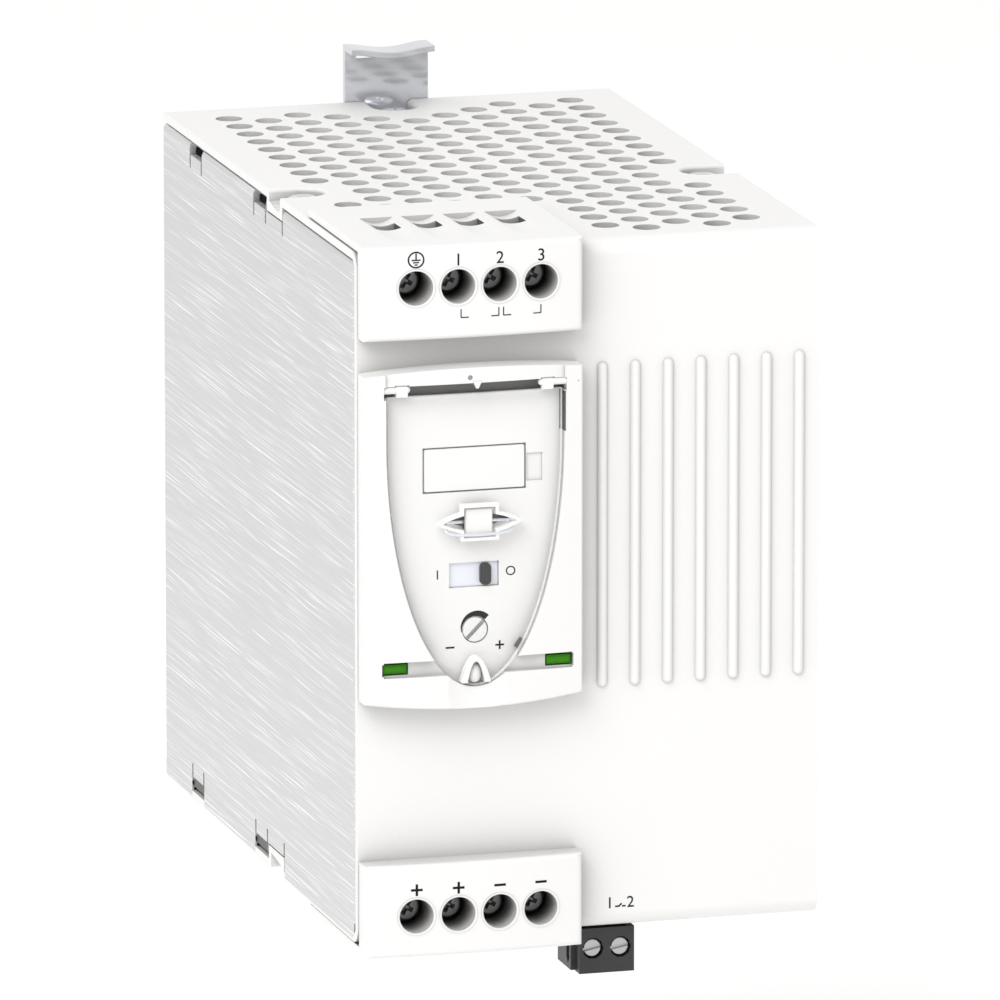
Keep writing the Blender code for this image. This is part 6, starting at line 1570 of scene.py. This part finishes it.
@dataclass
class Screws:
    """Terminal screws, cover screws, bracket screws and the relay plug's screws."""

    poles: tuple[float, ...] = (-0.03303, -0.02541, -0.01779, -0.01017)
    levels: tuple[float, float] = (0.0532, -0.0602)
    head: float = 0.005
    head_front: float = -0.1352
    head_length: float = 0.0019
    shank: float = 0.003
    tip: float = -0.126
    turns: tuple[float, ...] = (28.0, 22.0, 30.0, 26.0)
    cover_head: float = 0.0058
    cover_height: float = 0.0014
    cover_shank: float = 0.0034
    cover_length: float = 0.006
    bracket_head: float = 0.0056

    def cross(self, radius: float, depth: float, arm: float, turn: float) -> list[Piece]:
        """Return the two tapered bits of a cross recess, at the origin and facing -Y."""
        bits = []
        for angle in (turn, turn + 90):
            bit = box("bit", (-radius, -0.001, -arm / 2), (radius, depth, arm / 2))
            edit(
                bit, Pick.FACES, lambda _, normal: normal.y > 0.5,
                lambda: bpy.ops.transform.resize(value=(0.45, 1, 0.6), center_override=(0, depth, 0)),
            )
            bits.append(copy_of(bit, "bit_turned", Matrix.Rotation(math.radians(angle), 4, "Y")))
            bpy.data.objects.remove(bit)
        return bits

    def blank(self, name: str, head: float, height: float, shank: float, length: float, dome: float) -> Piece:
        """Turn a headed blank along Y, its head's front at the origin."""
        screw = rod(name, Axis.Y, (0, 0), head / 2, (0, height), 40)
        round_edges(screw, lambda a, b: near(a.y, 0) and near(b.y, 0), dome, 5)
        work(screw, [rod("shank", Axis.Y, (0, 0), shank / 2, (height - 0.0004, height + length), 24)],
            Join.WELD)
        return screw

    def terminal(self, turn: float) -> Piece:
        """Make a terminal screw at the origin."""
        length = self.tip - self.head_front - self.head_length
        screw = self.blank("terminal_screw", self.head, self.head_length, self.shank, length, 0.00045)
        for bit in self.cross(0.002, 0.0011, 0.0009, turn):
            work(screw, [bit], Join.CUT)
        ease(screw, 0.00006, 1)
        return polish(screw)

    def cover_screw(self) -> Piece:
        """Make a cover screw at the origin."""
        screw = self.blank("cover_screw", self.cover_head, self.cover_height, self.cover_shank,
            self.cover_length, 0.0008)
        for bit in self.cross(0.0017, 0.0009, 0.0008, 20.0):
            work(screw, [bit], Join.CUT)
        ease(screw, 0.00006, 1)
        return polish(screw)

    def plug_screw(self) -> Piece:
        """Make a slotted plug screw at the origin."""
        screw = self.blank("plug_screw", 0.0033, 0.0013, 0.002, 0.0032, 0.00025)
        saw = box("saw", (-0.003, -0.001, -0.0003), (0.003, 0.0005, 0.0003))
        turned = copy_of(saw, "saw_turned", Matrix.Rotation(math.radians(-11.0), 4, "Y"))
        bpy.data.objects.remove(saw)
        work(screw, [turned], Join.CUT)
        ease(screw, 0.00005, 1)
        return polish(screw)

    def dress(self) -> None:
        """Make each kind once, copy it to every place and finish it."""
        for number, (x, turn) in enumerate(zip(self.poles, self.turns), 1):
            first = self.terminal(turn)
            for prefix, z in zip(("upper", "lower"), self.levels):
                screw = copy_of(first, f"{prefix}_terminal_screw_{number}",
                    Matrix.Translation((x, self.head_front, z)))
                polish(screw)
                dress(screw, Shelf.dark, f"{prefix}_screw_{number}_body", f"{prefix}_screw_{number}",
                    slot="dark_steel")
            bpy.data.objects.remove(first)
        first = self.cover_screw()
        for node in ("top_screw_left", "top_screw_right", "top_screw_rear", "bottom_screw_left",
            "bottom_screw_right",
                     "bracket_screw_left", "bracket_screw_right"):
            low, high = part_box(node)
            middle = (low + high) / 2
            if node.startswith("top"):
                move = Matrix.Translation((middle.x, middle.y, high.z)) @ Matrix.Rotation(-math.pi / 2,
                    4, "X")
            elif node.startswith("bottom"):
                move = Matrix.Translation((middle.x, middle.y, low.z)) @ Matrix.Rotation(math.pi / 2, 4, "X")
            else:
                shrink = Matrix.Diagonal((self.bracket_head / self.cover_head, 0.78,
                    self.bracket_head / self.cover_head, 1))
                move = Matrix.Translation((middle.x, high.y, middle.z)) @ Matrix.Rotation(math.pi, 4,
                    "Z") @ shrink
            screw = polish(copy_of(first, f"{node}_turned", move))
            dress(screw, Shelf.bright, "case", node, slot="bright_steel")
        bpy.data.objects.remove(first)
        first = self.plug_screw()
        for number in (1, 2):
            low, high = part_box(f"relay_screw_{number}")
            move = Matrix.Translation(((low.x + high.x) / 2, low.y, (low.z + high.z) / 2))
            screw = polish(copy_of(first, f"plug_screw_{number}", move))
            dress(screw, Shelf.grey, f"relay_screw_{number}_body", f"relay_screw_{number}",
                slot="bright_steel")
        bpy.data.objects.remove(first)


@dataclass
class RailLatch:
    """The sliding latch with its waved thumb lip, and its spring."""

    width: float = 0.016
    sheet: float = 0.0012
    front: float = -0.0031
    back: float = -0.0019
    tab_height: float = 0.0107
    lip: float = 0.0047
    dip: float = 0.0009
    shelf_top: float = -0.018
    hook_lip: float = 0.0024
    hook_mouth: float = 0.0016
    window: float = 0.0064
    relief: tuple[float, float, float, float] = (-0.0058, -0.0025, 0.0670, 0.0675)
    spring_base: float = 0.0252
    spring_length: float = 0.0166
    spring_diameter: float = 0.0044
    spring_wire: float = 0.0006
    spring_curls: int = 9
    columns: int = 40

    def build(self) -> Piece:
        """Bend the latch from sheet, in many narrow steps so that its lip waves smoothly."""
        top = DATUM.top + self.tab_height
        bottom = self.shelf_top - self.sheet
        outer = self.hook_mouth + self.sheet
        profile = [
            (self.front, bottom), (outer, bottom), (outer, self.shelf_top + self.hook_lip),
            (self.hook_mouth, self.shelf_top + self.hook_lip), (self.hook_mouth, self.shelf_top),
            (self.back, self.shelf_top),
            (self.back, top), (self.front - self.lip, top), (self.front - self.lip, top - self.sheet),
            (self.front, top - self.sheet),
        ]
        half = self.width / 2
        latch = plate("latch", profile, Axis.X, (-half, -half + self.width / self.columns))
        for index in range(1, self.columns):
            x = -half + self.width * index / self.columns
            edit(latch, Pick.FACES, lambda middle, normal: near(middle.x, x) and normal.x > 0.5,
                extrude((self.width / self.columns, 0, 0)))
        for point in latch.data.vertices:
            if point.co.z > DATUM.top + self.tab_height / 2:
                point.co.z -= self.dip * 0.5 * (1 + math.cos(math.pi * point.co.x / half))
        low = self.spring_base - DATUM.gap - 0.0012 - DATUM.gap
        high = self.spring_base + self.spring_length + DATUM.gap
        left, right, under, over = self.relief
        work(latch, [
            box("window", (-self.window / 2, -0.006, low), (self.window / 2, 0.001, high)),
            box("relief", (left, -0.006, under), (right, 0.001, over)),
        ], Join.CUT)
        edit(latch, Pick.FACES, everything,
            lambda: bpy.ops.mesh.dissolve_limited(angle_limit=math.radians(0.05)))
        ease(latch, 0.00022, 3, 50.0)
        return polish(latch)

    def spring(self) -> Piece:
        """Wind the latch spring."""
        low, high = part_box("latch_spring")
        middle = (low + high) / 2
        radius = (self.spring_diameter - self.spring_wire) / 2
        bpy.ops.object.select_all(action="DESELECT")
        bpy.ops.mesh.primitive_circle_add(
            vertices=10, radius=self.spring_wire / 2, fill_type="NOTHING", location=(radius, 0, 0),
            rotation=(math.pi / 2, 0, 0),
        )
        spring = christen("spring")
        rise = self.spring_length - self.spring_wire
        shape_with(
            spring, "SCREW", axis="Z", angle=2 * math.pi, screw_offset=rise / self.spring_curls,
            iterations=self.spring_curls, steps=28, render_steps=28, use_merge_vertices=False,
        )
        cap_ends(spring)
        spring.location = (middle.x, middle.y, self.spring_base + self.spring_wire / 2)
        pick_up(spring)
        spring = christen("spring")
        face_outwards(spring)
        return polish(spring, 60.0)

    def dress(self) -> None:
        """Build the latch and the spring."""
        dress(self.build(), Shelf.mirror, "latch", "rail_latch", slot="zinc_steel")
        spring = dress(self.spring(), Shelf.bright, "case", "latch_spring", slot="bright_steel")
        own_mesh(spring)


@dataclass
class RelayPlug:
    """The black relay plug below the case."""

    edge: float = 0.00022

    def build(self) -> Piece:
        """Mould the plug from the plain solid, with eased edges and a side groove."""
        pick_up(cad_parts["relay_plug"])
        bpy.ops.object.duplicate(linked=False)
        plug = bpy.context.active_object
        plug.parent = None
        for key in list(plug.keys()):
            del plug[key]
        plug = christen("plug_body")
        edit(
            plug, Pick.FACES, everything, lambda: bpy.ops.mesh.remove_doubles(threshold=1e-6),
            lambda: bpy.ops.mesh.dissolve_limited(angle_limit=math.radians(1.0)),
        )
        low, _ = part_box("relay_plug")
        x = low.x
        y = low.y + 0.0042
        outline = [(y - 0.0009, -0.0668), (y - 0.0009, low.z + 0.0022), (y, low.z + 0.0012),
            (y + 0.0009, low.z + 0.0022), (y + 0.0009, -0.0668)]
        work(plug, [plate("groove", outline, Axis.X, (x - 0.001, x + 0.0004))], Join.CUT)
        ease(plug, self.edge, 2, 45.0)
        return polish(plug)

    def dress(self) -> None:
        """Build the plug and colour it."""
        dress(self.build(), Shelf.black, "plug", "relay_plug", slot="black_plastic")


@dataclass
class Marks:
    """Printed marks: earth sign, pole numbers and signs, adjuster scale and plug numbers."""

    bezel: Bezel
    poles: tuple[float, ...] = (-0.03303, -0.02541, -0.01779, -0.01017)
    thick: float = 0.00003
    upper_z: float = 0.0579
    lower_z: float = -0.0554
    bracket: tuple[float, float, float] = (0.0069, 0.0015, 0.00018)
    bracket_left: tuple[float, float] = (-0.02492, -0.01716)
    bracket_z: float = 0.0476
    plug_x: tuple[float, float] = (0.00393, 0.00776)
    plug_z: float = -0.0615

    def text(self, name: str, body: str, size: float, place: Flat, y: float) -> Piece:
        """Print a word or number that faces forwards."""
        bpy.ops.object.select_all(action="DESELECT")
        bpy.ops.object.text_add()
        line = bpy.context.active_object
        line.data.body = body
        line.data.size = size
        line.data.align_x = "CENTER"
        line.data.align_y = "CENTER"
        line.data.extrude = self.thick / 2
        bpy.ops.object.convert(target="MESH")
        line = bpy.context.active_object
        line.matrix_world = Matrix.Translation((place[0], y - self.thick / 2,
            place[1])) @ Matrix.Rotation(math.pi / 2, 4, "X")
        return christen(name)

    def bar(self, x: float, z: float, width: float, height: float, y: float) -> Piece:
        """Print a straight bar."""
        return box("bar", (x - width / 2, y - self.thick, z - height / 2), (x + width / 2, y, z + height / 2))

    def wrap(self, mark: Piece, name: str) -> Piece:
        """Lay a mark that was printed at Y 0 on the bowed front."""
        for point in mark.data.vertices:
            point.co.y += DATUM.face(point.co.x)
        mark.name = name
        return mark

    def earth(self, x: float, z: float) -> Piece:
        """Print the earth sign in its ring."""
        ring = rod("earth_sign", Axis.Y, (x, z), 0.0015, (-self.thick, 0), 48)
        work(ring, [rod("inside", Axis.Y, (x, z), 0.00124, (-0.001, 0.001), 48)], Join.CUT)
        bars = [self.bar(x, z + 0.0006, 0.00024, 0.0011, 0)]
        bars += [self.bar(x, z - 0.00005 - 0.00042 * k, 0.0016 - 0.00052 * k, 0.00022, 0) for k in range(3)]
        return self.wrap(gather([ring, *bars]), "earth_sign")

    def sign(self, name: str, x: float, z: float, plus: bool, size: float, y: float) -> Piece:
        """Print a plus or a minus."""
        stroke = 0.2 * size
        bars = [self.bar(x, z, size, stroke, y)]
        if plus:
            arm = (size - stroke) / 2
            bars += [self.bar(x, z + side * (size + stroke) / 4, stroke, arm, y) for side in (-1, 1)]
        mark = gather(bars)
        mark.name = name
        return mark

    def jumper(self, name: str, left: float) -> Piece:
        """Print the bracket that joins two poles."""
        width, height, stroke = self.bracket
        arm = 0.0014
        bars = [self.bar(left + k * width, self.bracket_z + height / 2, stroke, height, 0) for k in (0, 1)]
        bars += [self.bar(left + arm / 2 + k * (width - arm), self.bracket_z, arm, stroke, 0) for k in (0, 1)]
        return self.wrap(gather(bars), name)

    def contact(self) -> Piece:
        """Print the open contact between the plug's numbers."""
        y, z = DATUM.front, self.plug_z - 0.0006
        bars = [self.bar(x, z, 0.00066, 0.00028, y) for x in (0.00526, 0.00653)]
        lever = self.bar(0, 0, 0.0008, 0.00028, 0)
        bars.append(copy_of(lever, "lever",
            Matrix.Translation((0.00584, y, z + 0.00022)) @ Matrix.Rotation(-0.75, 4, "Y")))
        bpy.data.objects.remove(lever)
        mark = gather(bars)
        mark.name = "contact_mark"
        return mark

    def scale(self) -> Piece:
        """Print the crescent of the adjuster's scale."""
        x, z, _ = self.bezel.dial
        y = DATUM.floor
        moon = rod("adjuster_scale", Axis.Y, (x + 0.00035, z + 0.00042), 0.003, (y - self.thick, y), 64)
        work(moon, [rod("inside", Axis.Y, (x, z), 0.00245, (y - 0.001, y + 0.001), 64)], Join.CUT)
        for low, high, turn in (((-0.008, y - 0.001, -0.008), (0.008, y + 0.001, 0), 45),
            ((-0.008, y - 0.001, -0.008), (0, y + 0.001, 0), 8)):
            blade = box("blade", low, high)
            move = Matrix.Translation((x, 0, z)) @ Matrix.Rotation(-math.radians(turn), 4, "Y")
            turned = copy_of(blade, "blade_turned", move)
            bpy.data.objects.remove(blade)
            work(moon, [turned], Join.CUT)
        return moon

    def dress(self) -> None:
        """Print every mark."""
        floor = DATUM.floor
        made = [self.earth(self.poles[0], self.upper_z + 0.0004)]
        for number, x in enumerate(self.poles[1:], 1):
            made.append(self.wrap(self.text("mark", str(number), 0.0031, (x, self.upper_z), 0),
                f"upper_mark_{number}"))
        for number, x in enumerate(self.poles, 1):
            made.append(self.wrap(self.sign("mark", x, self.lower_z, number < 3, 0.0021, 0),
                f"lower_mark_{number}"))
        made += [self.jumper(f"jumper_mark_{number}", left) for number,
            left in enumerate(self.bracket_left, 1)]
        made.append(self.scale())
        made.append(self.sign("adjuster_minus", -0.0262, -0.0124, False, 0.0016, floor))
        made.append(self.sign("adjuster_plus", -0.0171, -0.0124, True, 0.0016, floor))
        made.append(self.text("switch_mark_1", "I", 0.0024, (-0.0285, 0.0008), floor))
        made.append(self.text("switch_mark_2", "O", 0.0024, (-0.0151, 0.0008), floor))
        for number, x in enumerate(self.plug_x, 1):
            made.append(self.text(f"plug_mark_{number}", str(number), 0.0029, (x, self.plug_z), DATUM.front))
        made.append(self.contact())
        for mark in made:
            dress(mark, Shelf.ink, "case")


@dataclass
class Innards:
    """Plain solids that keep their shape and only take a finish."""

    def dress(self) -> None:
        """Finish every solid that no new piece stands for."""
        finishes: dict[str, Finish] = {
            "left_side_panel": Shelf.brushed, "right_side_panel": Shelf.brushed, "rear_plate": Shelf.plated,
            "rail_bracket": Shelf.plated, "switch_body": Shelf.pale, "trimmer_body": Shelf.pale,
            "relay_header": Shelf.black, "front_board": Shelf.board, "control_board": Shelf.board,
            "main_board": Shelf.board, "transformer_core": Shelf.ferrite,
            "transformer_winding": Shelf.winding,
            "bulk_capacitor_1": Shelf.sleeve, "bulk_capacitor_2": Shelf.sleeve, "heat_sink": Shelf.aluminium,
            "line_choke": Shelf.ferrite, "alarm_relay": Shelf.black,
        }
        for name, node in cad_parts.items():
            finish = Shelf.plated if "_clamp_" in name else finishes.get(name)
            if finish:
                node.data.materials.clear()
                node.data.materials.append(finish.material())
                LOG.info("%s: finished as %s", name, finish.name)


@dataclass
class Studio:
    """Camera, floor, sky and lamps."""

    across: Point = (0.96205, -0.27289, 0.0)
    up: Point = (0.05911, 0.20838, 0.97627)
    behind: Point = (-0.26641, -0.93921, 0.21660)
    place: Point = (-0.74693, -2.71298, 0.60717)
    lens: float = 559.70
    floor_z: float = -0.15
    floor_size: float = 14.0
    floor_glow: float = 0.12
    floor_seen: float = 0.30
    sky: float = 0.66
    key: float = 26.0
    key_place: Point = (-1.06, -1.26, 1.52)
    key_size: float = 1.5

    def camera(self) -> None:
        """Set the camera where the photograph was taken from."""
        bpy.ops.object.select_all(action="DESELECT")
        bpy.ops.object.camera_add()
        camera = bpy.context.active_object
        camera.name = "camera"
        turn = Matrix((self.across, self.up, self.behind)).transposed().to_4x4()
        camera.matrix_world = Matrix.Translation(self.place) @ turn
        camera.data.lens = self.lens
        camera.data.sensor_width = 36.0
        camera.data.clip_end = 40.0
        bpy.context.scene.camera = camera

    def floor(self) -> None:
        """Lay a plain pale floor below the supply."""
        bpy.ops.object.select_all(action="DESELECT")
        bpy.ops.mesh.primitive_plane_add(size=self.floor_size, location=(0, 0, self.floor_z))
        floor = christen("studio_floor")
        material = bpy.data.materials.new("studio_floor_finish")
        material.use_nodes = True
        nodes = Nodes(material.node_tree)
        shader = material.node_tree.nodes["Principled BSDF"]
        shader.inputs["Base Color"].default_value = (0.9, 0.9, 0.9, 1.0)
        shader.inputs["Roughness"].default_value = 0.9
        shader.inputs["Specular IOR Level"].default_value = 0.0
        shader.inputs["Emission Strength"].default_value = 1.0
        share = nodes.seen()
        nodes.join(nodes.blend(share, (self.floor_glow,) * 3, (self.floor_seen,) * 3),
            shader.inputs["Emission Color"])
        nodes.join(0.86 + 0.08 * nodes.noise((3.0, 3.0, 3.0)), shader.inputs["Roughness"])
        floor.data.materials.append(material)

    def sky_light(self) -> None:
        """Light the scene from all round, white to the camera and in reflections."""
        world = bpy.data.worlds.new("studio_sky")
        bpy.context.scene.world = world
        world.use_nodes = True
        tree = world.node_tree
        tree.nodes.clear()
        nodes = Nodes(tree)
        share = nodes.seen()
        soft = nodes.add("ShaderNodeBackground", None,
            {"Color": (1.0, 0.995, 0.985, 1.0), "Strength": self.sky})
        white = nodes.add("ShaderNodeBackground", None, {"Color": (1.0, 1.0, 1.0, 1.0), "Strength": 1.0})
        mixed = nodes.add("ShaderNodeMixShader", None, {0: share, 1: soft, 2: white})
        output = tree.nodes.new("ShaderNodeOutputWorld")
        nodes.join(mixed, output.inputs["Surface"])

    def lamp(self, name: str, place: Point, size: float, power: float) -> None:
        """Hang one soft lamp that faces the supply."""
        bpy.ops.object.select_all(action="DESELECT")
        bpy.ops.object.light_add(type="AREA", location=place)
        lamp = bpy.context.active_object
        lamp.name = name
        lamp.data.shape = "DISK"
        lamp.data.size = size
        lamp.data.energy = power
        lamp.rotation_euler = Vector((-place[0], -0.07 - place[1], -place[2])).to_track_quat("-Z",
            "Y").to_euler()

    def dress(self) -> None:
        """Set the camera, floor and light."""
        self.camera()
        self.floor()
        self.sky_light()
        self.lamp("key_lamp", self.key_place, self.key_size, self.key)
        bpy.context.scene.view_settings.view_transform = "Standard"


def main() -> None:
    """Build every sub-assembly in order, then the studio."""
    logging.basicConfig(level=logging.INFO, format="%(message)s")
    bezel = Bezel()
    for assembly in (
        Cover(), PanelHems(), TerminalBlocks(), bezel, Flap(bezel), Controls(bezel), Screws(),
        RailLatch(), RelayPlug(), Marks(bezel),
        Innards(), Studio(),
    ):
        LOG.info("building %s", type(assembly).__name__)
        assembly.dress()


if __name__ == "__main__":
    main()
